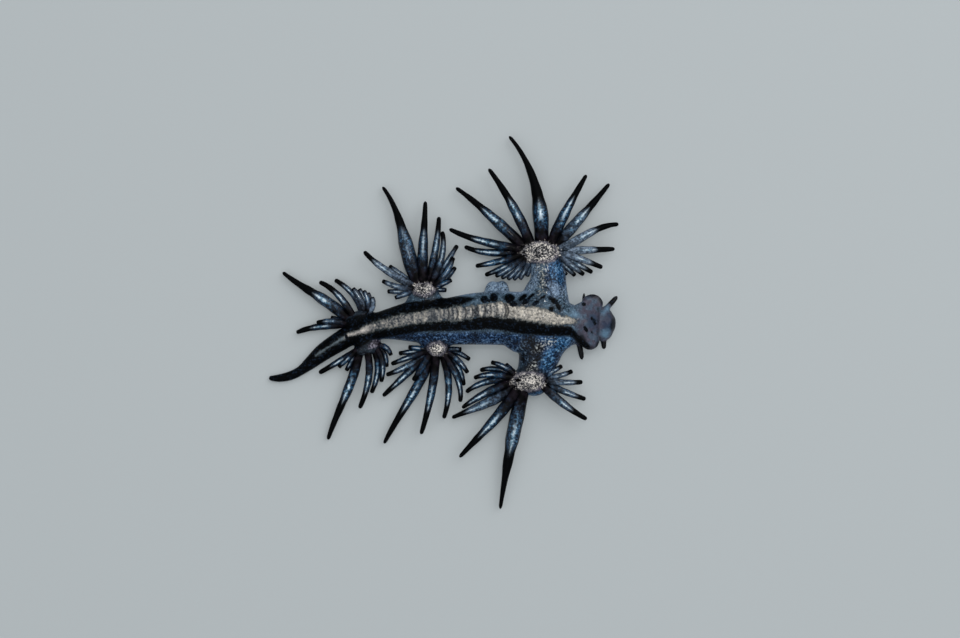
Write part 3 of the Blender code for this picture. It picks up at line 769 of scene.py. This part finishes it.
for vert, place in zip(skin_mesh.verts, sculpted):
    vert.co = place
print("deepest furrow in mm:", round(-lift.min(), 2))

# %% [markdown]
# ## From a mesh to a piece
#
# A finished mesh is turned from millimetres to metres, gets its fields as attributes, one number for
# each point, and is shaded smooth. It rides on the animal's body and stands for the solids that it
# replaces, so they aren't shown twice.

# %% Finished pieces
FLESH_NODES = [name for name in frame["nodes"] if not name.startswith("fan_")]
print("solids that the skin stands for:", len(FLESH_NODES))


def shown(name, bm, finish):
    """An object in the scene, in metres, from a mesh in millimetres."""
    bmesh.ops.scale(bm, vec=Vector((MM, MM, MM)), verts=bm.verts)
    mesh = bpy.data.meshes.new(name)
    bm.to_mesh(mesh)
    bm.free()
    mesh.materials.append(finish)
    thing = bpy.data.objects.new(name, mesh)
    bpy.context.scene.collection.objects.link(thing)
    return thing


def piece(name, bm, fields, finish, nodes):
    """Makes a piece of the animal, with its fields."""
    bmesh.ops.recalc_face_normals(bm, faces=bm.faces)
    thing = shown(name, bm, finish)
    mesh = thing.data
    mesh.shade_smooth()
    for field, values in fields.items():
        layer = mesh.attributes.new(field, "FLOAT", "POINT")
        layer.data.foreach_set("value", np.asarray(values, np.float32))
    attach(thing, "root")
    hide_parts(*nodes)
    mesh.calc_loop_triangles()
    print(f"{name}: {len(mesh.loop_triangles)} triangles")


# %% [markdown]
# ## Cerata
#
# A ceras is a soft finger, thin at its root, widest at a third of its length, and drawn out to a blunt
# tip. It is as thick as it is wide all the way, so a profile spun about its axis makes it, closed at
# both ends. A thick one draws in sooner than a thin one, and each has a small waist where its black
# end begins.

# %% Shape of a ceras
FULLEST = 0.35        # share of the length at which a ceras is thickest
ROUND_FROM = 0.96     # from here on the tip is rounded off
TAPER = (             # share of the length, and share of what the girth has over the tip's
    (0.0, 0.75), (0.12, 0.90), (0.24, 0.98), (FULLEST, 1.0), (0.45, 0.93), (0.55, 0.78), (0.65, 0.62),
    (0.75, 0.43), (0.85, 0.25), (ROUND_FROM, 0.05),
)
TIP_GIRTH = 0.44      # every ceras is about as thick at its tip
TAPERS_EVENLY = 1.2   # a ceras thicker than this draws in sooner, a thinner one later
HASTE_POWER = 1.5     # and this says how strongly
FULLER = 0.08         # soft flesh bulges this much past the stated girth
CERAS_SIDES = 16
CERAS_RINGS = 26
TIP_RINGS = 5
SINK = 0.9            # how far the root reaches into the hub
ROOT_LEVEL = 0.56     # height of the roots, as a share of the hub's height
DROOP = 0.06          # how far a tip sinks, for each millimetre of length
CLEAR = 0.35          # the least height of a ceras above the floor
LAYER_LIFT = 0.22     # every second ceras sets out this much higher, the others as much lower
NECK_IN = 0.07        # the small waist where the black end begins
NECK_LENGTH = 0.05    # and the share of the length that it takes
SHOULDER_FROM = -0.03  # fullness is lost from here to here beside that place
SHOULDER_TO = 0.05
WAVE = 0.03           # slight unevenness of the girth
WAVES = 5
STEPS = 24            # steps along a path


def girths(sizes, chance):
    """The profile of one ceras, as shares of its length and of its girth."""
    dense = smooth_line(TAPER)[1]
    shares = list(np.linspace(0.0, ROUND_FROM, CERAS_RINGS))
    turns = [math.pi / 2 * ring / TIP_RINGS for ring in range(1, TIP_RINGS)]
    shares += [ROUND_FROM + (1 - ROUND_FROM) * math.sin(turn) for turn in turns]
    girth = sizes.girth + FULLER
    haste = (girth / TAPERS_EVENLY) ** HASTE_POWER
    profile = []
    for share in shares:
        fullness = float(np.interp(share, dense[:, 0], dense[:, 1]))
        if share > FULLEST:
            fullness = fullness ** haste
        past = share - sizes.black_from
        fullness *= 1 - sizes.shoulder * float(smooth_step(past, SHOULDER_FROM, SHOULDER_TO))
        here = TIP_GIRTH + (girth - TIP_GIRTH) * fullness
        here *= 1 - NECK_IN * float(bell(past, NECK_LENGTH))
        here *= 1 + WAVE * math.sin(2 * math.pi * (WAVES * share + chance))
        if share > ROUND_FROM:
            here *= math.sqrt(1 - ((share - ROUND_FROM) / (1 - ROUND_FROM)) ** 2)
        profile.append((share, here / sizes.girth))
    return [*profile, (1.0, 0.0)]


longest = FANS["front_left"][0]
print("profile of the longest ceras:", len(girths(longest, 0.0)), "rings")

# %% [markdown]
# ## The path of a ceras
#
# The three headings make a parabola, read at each step of the way, so a ceras bends evenly and can
# turn back at its tip. It sets out square to the rim of its hub, half as high as the hub, and sinks a
# little towards the tip. Every second one sets out higher than its neighbours, so where they are
# crowded they lie over each other instead of running into each other.

# %% Paths
def towards(degrees):
    return Vector((math.cos(math.radians(degrees)), math.sin(math.radians(degrees))))


def rim_point(hub, degrees):
    """Where the hub's oval faces this way."""
    way = towards(degrees - hub.turn)
    reach = math.hypot(hub.half_length * way.x, hub.half_width * way.y)
    on_oval = Vector((hub.half_length ** 2 * way.x / reach, hub.half_width ** 2 * way.y / reach))
    on_oval.rotate(Matrix.Rotation(math.radians(hub.turn), 2))
    return Vector((hub.x, hub.y)) + on_oval


def heading_at(sizes, share):
    """The heading this share of the way along, through the three stated ones."""
    return (
        sizes.leave * (1 - share) * (1 - 2 * share)
        + sizes.half_way * 4 * share * (1 - share)
        + sizes.arrive * share * (2 * share - 1)
    )


def ceras_path(hub, sizes, lift):
    """Places and headings from inside the hub out to the tip."""
    whole = sizes.length + SINK
    place = rim_point(hub, sizes.leave) - towards(sizes.leave) * SINK
    level = ROOT_LEVEL * hub.height + lift
    path = []
    for step in range(STEPS + 1):
        share = max(whole * step / STEPS - SINK, 0.0) / sizes.length
        heading = towards(heading_at(sizes, share))
        if step:
            place = place + heading * (whole / STEPS)
        path.append((Vector((*place, level - DROOP * sizes.length * share ** 2)), heading))
    return path


print("path of the longest ceras:", len(ceras_path(HUBS["front_left"], longest, 0.0)), "places")

# %% [markdown]
# ## Bending and gathering
#
# Each spun ceras is laid along its path by moving its points: every ring stays round and square to the
# heading there. The points keep numbers for the finish: how far along they are, how far round from the
# upper side, where the black begins, and what else differs from ceras to ceras. The cerata of one hub
# are gathered in one mesh, because they grow as one tuft.

# %% Bend the cerata and gather each fan
LONG = 8.0            # a ceras of this length or more has its marks at full strength
GOLDEN = 0.618        # steps of this share of a turn never fall into a rhythm


def bent(hub, sizes, lift, chance, fields):
    """One ceras, bent along its path. Its points add their numbers to the fields."""
    path = ceras_path(hub, sizes, lift)
    bm = spun(girths(sizes, chance), CERAS_SIDES)
    for vert in bm.verts:
        along = vert.co.x
        round_it = Vector((vert.co.y, vert.co.z))
        low = min(int(along * STEPS), STEPS - 1)
        place = path[low][0].lerp(path[low + 1][0], along * STEPS - low)
        heading = path[low][1].lerp(path[low + 1][1], along * STEPS - low).normalized()
        left = Vector((-heading.y, heading.x, 0.0))
        place.z = max(place.z, CLEAR + round_it.length * sizes.girth)
        vert.co = place + (left * round_it.x + Vector((0, 0, round_it.y))) * sizes.girth
        fields["along"].append(along)
        fields["upper"].append(round_it.y / round_it.length if round_it.length > SAME_PLACE else 0.0)
        fields["black_from"].append(sizes.black_from)
        fields["strength"].append(min(1.0, sizes.length / LONG))
        fields["clear"].append(sizes.clear)
        fields["shine"].append(sizes.shine)
        fields["chance"].append(chance)
    return bm


def fan(name):
    """All cerata of one fan as one mesh, with their fields."""
    kept = ("along", "upper", "black_from", "strength", "clear", "shine", "chance")
    fields = {field: [] for field in kept}
    parts = []
    for number, sizes in enumerate(FANS[name]):
        lift = LAYER_LIFT if number % 2 else -LAYER_LIFT
        parts.append(bent(HUBS[name], sizes, lift, (number * GOLDEN) % 1.0, fields))
    bm = joined(parts)
    fields["patch"] = inside_ovals(np.array([vert.co for vert in bm.verts]), PATCHES)
    return bm, fields


fans = {name: fan(name) for name in FANS}
print("points of the cerata:", sum(len(bm.verts) for bm, _ in fans.values()))

# %% [markdown]
# ## Writing a finish as sums
#
# A finish is a web of nodes, which is long to write link by link. Here a small class wraps a socket,
# so that `1 - mask` or `a * b` adds its own Math node, and one method adds any other node from its
# settings and its values. A web can belong to a material or to the sky, so what both need is in one
# class and what only a material has in another. Colours are written as the hex codes that a paint
# program shows, and turned to the linear numbers that the renderer works in.

# %% Sockets as numbers
def paint(code):
    """A linear colour from a hex code."""
    channels = [int(code[place:place + 2], 16) / 255 for place in (1, 3, 5)]
    return (*(c / 12.92 if c <= 0.04045 else ((c + 0.055) / 1.055) ** 2.4 for c in channels), 1.0)


class Value:
    """A socket on its way through a web of nodes. Arithmetic on it adds Math nodes."""

    def __init__(self, web, socket):
        self.web = web
        self.socket = socket

    def calculate(self, operation, first, second):
        return self.web.node("ShaderNodeMath", {"operation": operation}, {0: first, 1: second})

    def __add__(self, other):
        return self.calculate("ADD", self, other)

    def __mul__(self, other):
        return self.calculate("MULTIPLY", self, other)

    def __sub__(self, other):
        return self.calculate("SUBTRACT", self, other)

    def __rsub__(self, other):
        return self.calculate("SUBTRACT", other, self)

    def __truediv__(self, other):
        return self.calculate("DIVIDE", self, other)

    __radd__ = __add__
    __rmul__ = __mul__


class Web:
    """A tree of nodes."""

    def __init__(self, tree):
        self.tree = tree

    def set(self, socket, value):
        if isinstance(value, Value):
            self.tree.links.new(value.socket, socket)
        else:
            socket.default_value = value

    def node(self, kind, settings, values, output=0):
        """Adds a node of this kind and gives one of its outputs."""
        made = self.tree.nodes.new(kind)
        for key, setting in settings.items():
            if key == "stops":
                for number, (where, colour) in enumerate(setting):
                    ramp = made.color_ramp.elements
                    stop = ramp[number] if number < len(ramp) else ramp.new(where)
                    stop.position, stop.color = where, colour
            else:
                setattr(made, key, setting)
        for key, value in values.items():
            self.set(made.inputs[key], value)
        return Value(self, made.outputs[output])

    def step(self, value, low, high):
        """Passes smoothly from 0 to 1 as the value passes from low to high."""
        values = {"Value": value, "From Min": low, "From Max": high}
        return self.node("ShaderNodeMapRange", {"interpolation_type": "SMOOTHSTEP"}, values)


class Finish(Web):
    """One material, made of nodes."""

    def __init__(self, name):
        self.material = bpy.data.materials.new(name)
        self.material.use_nodes = True
        super().__init__(self.material.node_tree)
        self.surface = self.tree.nodes["Principled BSDF"]
        place = self.node("ShaderNodeTexCoord", {}, {}, "Object")
        self.place = self.node("ShaderNodeVectorMath", {"operation": "SCALE"}, {0: place, "Scale": 1 / MM})

    def field(self, name):
        return self.node("ShaderNodeAttribute", {"attribute_name": name}, {}, "Fac")

    def noise(self, per_mm, detail=2.0, roughness=0.5):
        values = {"Vector": self.place, "Scale": per_mm, "Detail": detail, "Roughness": roughness}
        return self.node("ShaderNodeTexNoise", {}, values, "Fac")

    def mix(self, share, start, end):
        return self.node("ShaderNodeMix", {"data_type": "RGBA"}, {0: share, 6: start, 7: end}, 2)

    def ramp(self, value, *stops):
        """A colour that passes through these stops, each a place and a hex code."""
        settings = {"stops": [(where, paint(code)) for where, code in stops]}
        return self.node("ShaderNodeValToRGB", settings, {"Fac": value}, "Color")

    def bump(self, height, strength, depth):
        """A normal bent by this height, which at most stands for this depth in millimetres."""
        values = {"Strength": strength, "Distance": depth * MM, "Height": height}
        return self.node("ShaderNodeBump", {}, values, "Normal")

    def give(self, **values):
        """Sets the surface's own sockets, with spaces written as underscores."""
        for key, value in values.items():
            self.set(self.surface.inputs[key.replace("_", " ")], value)


print("a mid grey is", [round(c, 3) for c in paint("#808080")])

# %% [markdown]
# ## Noise for the skin
#
# No border on living skin is a clean curve, and no colour is even. Noises at three scales do that
# work: they break each colour into clumps, and they move the edge of every mark in or out a little.
# Two helpers lay one colour over another by a field, so that a mark takes one line. The granules of the
# hubs are shared with the cerata, so they are a function.

# %% Noises and edges of the skin
def granular(finish, clumps):
    """Cream, grey and dark granules in clumps, as on the patches of the hubs."""
    return finish.ramp(
        clumps, (0.40, "#08090c"), (0.45, "#313237"), (0.50, "#6b6a6c"), (0.56, "#a5a09b"), (0.63, "#ebe3d9")
    )


skin = Finish("slug skin")
fine = skin.noise(4.4, 3.0, 0.6)
middling = skin.noise(1.4, 2.0)
broad = skin.noise(0.5, 2.0)
clumps = fine * 0.7 + middling * 0.3
clumped = skin.step(clumps, 0.42, 0.58)
wander = (fine - 0.5) * 0.5 + (middling - 0.5) * 0.5
x_place = skin.node("ShaderNodeSeparateXYZ", {}, {"Vector": skin.place}, "X")


def covered(field, soft=0.06, rough=1.0):
    """Where a mark covers the skin, its edge roughened by noise."""
    return skin.step(skin.field(field) + wander * rough, -soft, soft)


def lay(under, field, over, low, high, share):
    """A colour with a share of another over it, from just outside a mark to just inside."""
    return skin.mix(skin.step(skin.field(field) + wander, low, high) * share, under, over)


def along_x(low, high):
    """Passes from 0 to 1 between these places along the body."""
    return skin.step(x_place, low, high)


print("nodes so far:", len(skin.tree.nodes))

# %% [markdown]
# ## Flesh
#
# The flank is grey and half clear. It is blue where its granules lie close, darker towards the tail and
# brightest beside the front arms. Flesh that slopes away looks paler, because more light passes its
# edge, and a fine dark net of wrinkles lies over it. The hubs are dark round their rims, where the
# cerata begin. Each colour follows the same clumps, so they look like one tissue.

# %% Flesh
grey = skin.mix(skin.step(middling, 0.35, 0.65), paint("#2a3a48"), paint("#4e6475"))
grey = skin.mix(skin.step(fine, 0.54, 0.68) * 0.7, grey, paint("#7d93a6"))
blue = skin.ramp(
    clumps, (0.40, "#070d17"), (0.46, "#14253d"), (0.51, "#223b5c"), (0.57, "#3e5f88"), (0.64, "#7f9fbf")
)
blue = skin.mix((1 - along_x(-6.0, 0.0)) * 0.4, blue, paint("#0b1524"))
blue = skin.mix(skin.step(broad, 0.42, 0.62) * 0.5, blue, paint("#111b2e"))
bright = skin.ramp(clumps, (0.40, "#0c2036"), (0.47, "#214a70"), (0.54, "#386c98"), (0.62, "#779fbf"))
pale = skin.mix(clumped, paint("#5d748f"), paint("#9bb1c8"))
netting = skin.noise(2.8, 1.0) - 0.5
wrinkle = 1 - skin.step(netting * netting, 0.0, 0.004)
mottled = skin.ramp(clumps, (0.44, "#030406"), (0.51, "#0e141c"), (0.57, "#1d2f42"), (0.63, "#5b6d7c"))
colour = lay(grey, "blue", blue, -0.3, 0.4, 1.0)
colour = lay(colour, "bright", bright, -0.3, 0.3, 0.8)
colour = skin.mix(skin.field("slope") * clumped * 0.6, colour, paint("#7592b6"))
colour = lay(colour, "pale", pale, -0.3, 0.3, 0.65)
colour = skin.mix(wrinkle * skin.step(broad, 0.35, 0.55) * 0.9, colour, paint("#060c15"))
colour = lay(colour, "mottled", mottled, -0.35, 0.35, 0.95)
colour = lay(colour, "rim", paint("#0d0c12"), -0.35, 0.1, 0.8)
print("nodes so far:", len(skin.tree.nodes))

# %% [markdown]
# ## Head, granules and black bands
#
# The head is a greyish violet, with navy, teal and almost black places. The granules lie close on the
# hubs' patches, in lilac at their edge, and thin out to a dust along the arms. The bands are black with
# a few bluish flecks, which keep them from looking printed.

# %% Head, granules and bands
violet = skin.mix(skin.step(middling, 0.4, 0.6), paint("#45424f"), paint("#435060"))
violet = skin.mix(skin.step(fine, 0.55, 0.68) * 0.5, violet, paint("#676e82"))
violet = skin.mix(skin.step(1 - fine, 0.55, 0.68) * 0.6, violet, paint("#191a25"))
colour = skin.mix(skin.field("head") + wander * 0.5, colour, violet)
colour = lay(colour, "navy", paint("#1a2a42"), -0.4, 0.5, 0.7)
colour = lay(colour, "teal", paint("#6f93ad"), -0.4, 0.4, 0.6)
# Darker places; along the collar's front edge this is partly painted shadow.
colour = lay(colour, "dim", paint("#0a0c12"), -0.15, 0.2, 0.9)
dust = skin.mix(skin.step(fine, 0.50, 0.66), paint("#464e50"), paint("#c8c7bf"))
colour = skin.mix(covered("trail", 0.4) * skin.step(fine, 0.47, 0.56) * 0.75, colour, dust)
specks = granular(skin, skin.noise(6.0, 2.0, 0.6) * 0.9 + middling * 0.4 - 0.15)
lilac = skin.mix(skin.step(skin.field("patch"), 0.0, 0.45), paint("#5f5c6a"), specks)
colour = skin.mix(covered("patch", 0.15), colour, skin.mix(0.75, specks, lilac))
dull = skin.mix(skin.step(clumps, 0.45, 0.58), paint("#2c2833"), paint("#8f8a98"))
colour = skin.mix(covered("dull", 0.2) * 0.8, colour, dull)
black = skin.mix(skin.step(clumps, 0.52, 0.63) * 0.6, paint("#010203"), paint("#1b2839"))
colour = skin.mix(covered("band", 0.1), colour, black)
print("nodes so far:", len(skin.tree.nodes))

# %% [markdown]
# ## The foot
#
# The stripe is cream in front and greyer behind, slightly pink at its rear end, and a thin grey line
# goes on along the tail. Soft bands of painted shade and light cross it where its folds are, most in
# its middle. Small dark pits lie all over it, and its creases are dark where the folds are sculpted,
# because little light gets in.

# %% Foot
# Painted shade and light of the cross folds: soft bands across the foot, strongest in its middle. The grey
# tail line takes its tone from the same bands.
across = skin.node("ShaderNodeVectorMath", {"operation": "MULTIPLY"}, {0: skin.place, 1: (1.0, 0.2, 0.2)})
fold_shade_and_tone_bands = skin.node("ShaderNodeTexNoise", {}, {"Vector": across, "Scale": 2.6, "Detail": 2.0}, "Fac")
barred = along_x(-5.0, -1.0) * (1 - along_x(4.0, 8.0))
cream = skin.ramp(
    clumps + (fold_shade_and_tone_bands - clumps) * (0.12 + barred * 0.35),
    (0.38, "#171a1e"), (0.44, "#4b4f54"), (0.50, "#878684"), (0.56, "#b5afa5"), (0.64, "#e8dfd0"),
)
cream = skin.mix(along_x(4.0, 9.0) * 0.3, cream, paint("#c8beae"))
cream = skin.mix(skin.step(1 - fine, 0.60, 0.68) * 0.75, cream, paint("#1a1c1e"))
cream = skin.mix(skin.step(skin.field("crease"), 0.1, 0.8) * 0.85, cream, paint("#1d1e22"))
greyer = along_x(-9.8, -7.5) * (1 - along_x(-3.0, 6.0))
cream = skin.mix(greyer * 0.5, cream, paint("#34383e"))
pinkish = along_x(-11.2, -10.8) * (1 - along_x(-9.2, -7.8))
cream = skin.mix(pinkish * 0.45, cream, paint("#dcd2cb"))
tail_line = skin.mix(fold_shade_and_tone_bands, paint("#2b353f"), paint("#98a6af"))
cream = skin.mix(1 - along_x(-11.6, -11.0), cream, tail_line)
cream = skin.mix(skin.step(skin.field("stripe") + wander * 0.5, -0.1, 0.4), paint("#333b3e"), cream)
colour = skin.mix(covered("stripe", 0.15, 1 + along_x(-8.0, -2.0)), colour, cream)
print("nodes so far:", len(skin.tree.nodes))

# %% [markdown]
# ## Blotches, back and the wet surface
#
# Last come the black blotches, the silver of the back, which lies below, and the black ends of the
# feelers. A clear coat stands for the water on the skin. Black skin gets hardly any, because it would
# mirror the lights as grey. The bump is the grain of the granules, a few hundredths of a millimetre.

# %% Blotches, back and wet surface
WET = {"IOR": 1.38, "Specular_IOR_Level": 0.06, "Coat_Roughness": 0.08}
blotched = covered("blotch", 0.05, 0.9)
colour = skin.mix(blotched, colour, black)
silver = skin.mix(clumped, paint("#5d6f86"), paint("#a9b6c2"))
colour = skin.mix(skin.field("back") * 0.85, colour, silver)
colour = skin.mix(skin.step(skin.field("tip"), -0.1, 0.15), colour, black)
granules = skin.node("ShaderNodeTexVoronoi", {}, {"Vector": skin.place, "Scale": 3.6}, "Distance")
skin.give(
    Base_Color=colour, Roughness=0.40 + (middling - 0.5) * 0.3,
    Coat_Weight=0.22 * (1 - covered("band", 0.3)) * (1 - blotched),
    Normal=skin.bump(fine + granules * 0.5, 0.6, 0.05), **WET
)
print("nodes of the skin finish:", len(skin.tree.nodes))

# %% [markdown]
# ## The flesh of the cerata
#
# Near the hub a ceras is dark brown, because the gut reaches into it. Further out it is deep blue, or
# slate grey in those that are clearer. How far along a point is, set against the place where the black
# begins, gives its reach: 0 at the root and 1 at the black, whatever the length. So one finish
# fits all cerata.

# %% Flesh of the cerata
cerata = Finish("cerata skin")
along = cerata.field("along")
upper = cerata.field("upper")
black_from = cerata.field("black_from")
strength = cerata.field("strength")
clear = cerata.field("clear")
shine = cerata.field("shine")
speckle = cerata.noise(4.4, 3.0, 0.6)
soft = cerata.noise(1.4, 2.0)
uneven = (speckle - 0.5) * (0.4 + strength * 0.6) + (soft - 0.5) * 0.4
reach = along / black_from
root = cerata.mix(cerata.step(soft, 0.40, 0.65), paint("#030304"), paint("#171218"))
blues = cerata.ramp(
    uneven + 0.5,
    (0.38, "#04070d"), (0.47, "#0d1c2e"), (0.54, "#1a3753"), (0.62, "#2d5675"), (0.74, "#5e87a3"),
)
blues = cerata.mix(cerata.field("chance") * 0.6, blues, paint("#0e1420"))
slate = cerata.mix(cerata.step(uneven, -0.10, 0.12), paint("#404d5b"), paint("#8494a8"))
shade = cerata.mix(clear, blues, slate)
shade = cerata.mix(cerata.step(reach + (soft - 0.5) * 0.5 + clear * 0.35, 0.25, 0.75), root, shade)
print("nodes so far:", len(cerata.tree.nodes))

# %% [markdown]
# ## Streak, edges and black end
#
# A streak lies along the upper side. It is partly the ceras's own silver and partly a painted highlight
# of its wet crest. It narrows as it grows brighter, and a thin white painted highlight lies along its
# crest just before the black end, whose border is sharp. The sides are dark, so neighbouring cerata
# read apart, and the underside is paler. The granules of the hubs spill over the roots, so the same
# patch field is used here.

# %% Streak, edges and black end
# The streak's colour: its own silver, passing into a painted highlight that is brightest near the black end.
silver_and_painted_highlight = cerata.ramp(
    reach + uneven, (0.45, "#152a3d"), (0.70, "#4a7794"), (0.86, "#95b8cc"), (0.97, "#d6e4ec")
)
narrows = reach * reach * reach * 0.07
crest = cerata.step(upper + (speckle - 0.5) * 0.08 + (strength - 1) * 0.04 - narrows, 0.87, 0.97)
streak = crest * cerata.step(reach + (soft - 0.5) * 0.6, 0.40, 0.80) * (0.45 + strength * 0.55)
shade = cerata.mix(streak * shine, shade, silver_and_painted_highlight)
# Painted highlight: a thin white line along the crest, just before the black end.
painted_crest_highlight = cerata.step(upper + (speckle - 0.5) * 0.04 - narrows, 0.92, 0.96) * cerata.step(reach, 0.5, 0.75)
shade = cerata.mix(painted_crest_highlight * cerata.step(soft, 0.42, 0.55) * shine * 0.6, shade, paint("#e1eaee"))
edge = 1 - cerata.step(upper + clear * 0.2, 0.25, 0.85)
shade = cerata.mix(edge * 0.85, shade, paint("#03050a"))
shade = cerata.mix(cerata.step(0 - upper, 0.3, 0.9) * 0.5, shade, paint("#4b5f72"))
end = cerata.step(along - black_from + uneven * 0.2 + (1 - upper) * 0.09, -0.05, 0.05)
ink = cerata.mix(cerata.step(speckle, 0.55, 0.75) * 0.5, paint("#010203"), paint("#0c121b"))
shade = cerata.mix(end, shade, ink)
spilt = speckle * 0.5 + soft * 0.5
spill = cerata.step(cerata.field("patch") + (spilt - 0.5) * 2.0, 0.0, 0.25) * cerata.step(upper, 0.0, 0.6)
shade = cerata.mix(spill, shade, granular(cerata, spilt))
cerata.give(
    Base_Color=shade, Roughness=0.35 + end * 0.2,
    Coat_Weight=0.35 * (1 - end) * cerata.step(reach, 0.2, 0.7),
    Normal=cerata.bump(speckle, 0.3, 0.03), **WET
)
print("nodes of the cerata finish:", len(cerata.tree.nodes))

# %% [markdown]
# ## Dressing the animal
#
# The skin stands for the trunk, the arms, the foot's front and the feelers, and each fan for the solid
# of the same name, so nothing of the plain solids is left to see.

# %% Dress the animal
piece("slug_skin", skin_mesh, marks, skin.material, FLESH_NODES)
for name, (bm, fields) in fans.items():
    piece("cerata_" + name, bm, fields, cerata.material, ["fan_" + name])

# %% [markdown]
# ## Floor
#
# The animal lies on a plain pale floor, a single flat grid. It glows a little, like milk glass lit
# from below, because that thins the shadows on it, which more lamps would only move.

# %% Floor
FLOOR_HALF = 400.0
FLOOR_LEVEL = -0.02
milk_glass = Finish("milk glass")
milk_glass.give(
    Base_Color=paint("#a1a6a8"), Roughness=0.6, Specular_IOR_Level=0.2,
    Emission_Color=paint("#a8afb0"), Emission_Strength=0.25,
)
floor_mesh = bmesh.new()
bmesh.ops.create_grid(floor_mesh, x_segments=4, y_segments=4, size=FLOOR_HALF)
bmesh.ops.translate(floor_mesh, vec=Vector((0, 0, FLOOR_LEVEL)), verts=floor_mesh.verts)
floor = shown("floor", floor_mesh, milk_glass.material)
floor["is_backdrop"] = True
print("floor, half side in mm:", FLOOR_HALF)

# %% [markdown]
# ## Light
#
# The sky is brightest overhead, so shadows fall beneath the animal, where the camera doesn't see them.
# A wide panel at the upper right shapes the body, a weaker one opposite fills the dark sides, and a
# small one nearly overhead draws the narrow glints on the wet cerata.

# %% Light
Panel = namedtuple("Panel", "name place size power")
PANELS = (            # places and sizes in millimetres, power in watts
    Panel("key", (260, 230, 300), 380, 0.85),
    Panel("fill", (-330, -140, 300), 380, 0.12),
    Panel("glint", (30, 90, 400), 30, 0.15),
)
OVERHEAD = 1.10       # how bright the sky is straight above
HORIZON = 0.30
LOW, HIGH = 0.3, 0.9  # the sines of the elevations between which it passes from one to the other


def add_panel(panel):
    """A square light that faces the animal."""
    light = bpy.data.lights.new(panel.name, "AREA")
    light.shape = "SQUARE"
    light.size = panel.size * MM
    light.energy = panel.power
    lamp = bpy.data.objects.new(panel.name, light)
    lamp.location = Vector(panel.place) * MM
    lamp.rotation_euler = Vector(panel.place).to_track_quat("Z", "Y").to_euler()
    bpy.context.scene.collection.objects.link(lamp)


for panel in PANELS:
    add_panel(panel)
world = bpy.data.worlds.new("sky")
world.use_nodes = True
sky = Web(world.node_tree)
ray = sky.node("ShaderNodeTexCoord", {}, {}, "Generated")
height = sky.node("ShaderNodeSeparateXYZ", {}, {"Vector": ray}, "Z")
background = world.node_tree.nodes["Background"]
sky.set(background.inputs["Color"], paint("#e4e8eb"))
sky.set(background.inputs["Strength"], HORIZON + (OVERHEAD - HORIZON) * sky.step(height, LOW, HIGH))
bpy.context.scene.world = world
bpy.context.scene.view_settings.view_transform = "Standard"
print("lights:", [panel.name for panel in PANELS])

# %% [markdown]
# ## Camera
#
# It looks straight down from 0.3 m, as the picture was taken. A point of the picture covers a known
# width of the animal, and that gives the focal length.

# %% Camera
PICTURE_POINTS = 960  # width of the picture, in its own points
POINT = 0.1132        # millimetres of the animal that one of them covers
BELLY_LEVEL = 2.5     # the height at which that holds
CAMERA = Vector((4.075, 0.396, 300.0))
SENSOR = 36.0
NEAREST = 10.0        # nothing nearer than this is drawn
camera = bpy.data.objects.new("camera", bpy.data.cameras.new("camera"))
camera.location = CAMERA * MM
camera.data.sensor_width = SENSOR
camera.data.lens = SENSOR * (CAMERA.z - BELLY_LEVEL) / (PICTURE_POINTS * POINT)
camera.data.clip_start = NEAREST * MM
bpy.context.scene.collection.objects.link(camera)
bpy.context.scene.camera = camera
print("focal length in mm:", round(camera.data.lens, 1))

# %% [markdown]
# ## Sizes
#
# Skin and cerata must not make the animal bigger than its solids. Both boxes are written down, so
# that they can be compared.

# %% Print the sizes and finish
low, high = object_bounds()
for axis, solid, dressed in zip("xyz", (cad_high - cad_low) / MM, (high - low) / MM):
    print(f"{axis}: solids {solid:.2f} mm, dressed {dressed:.2f} mm")
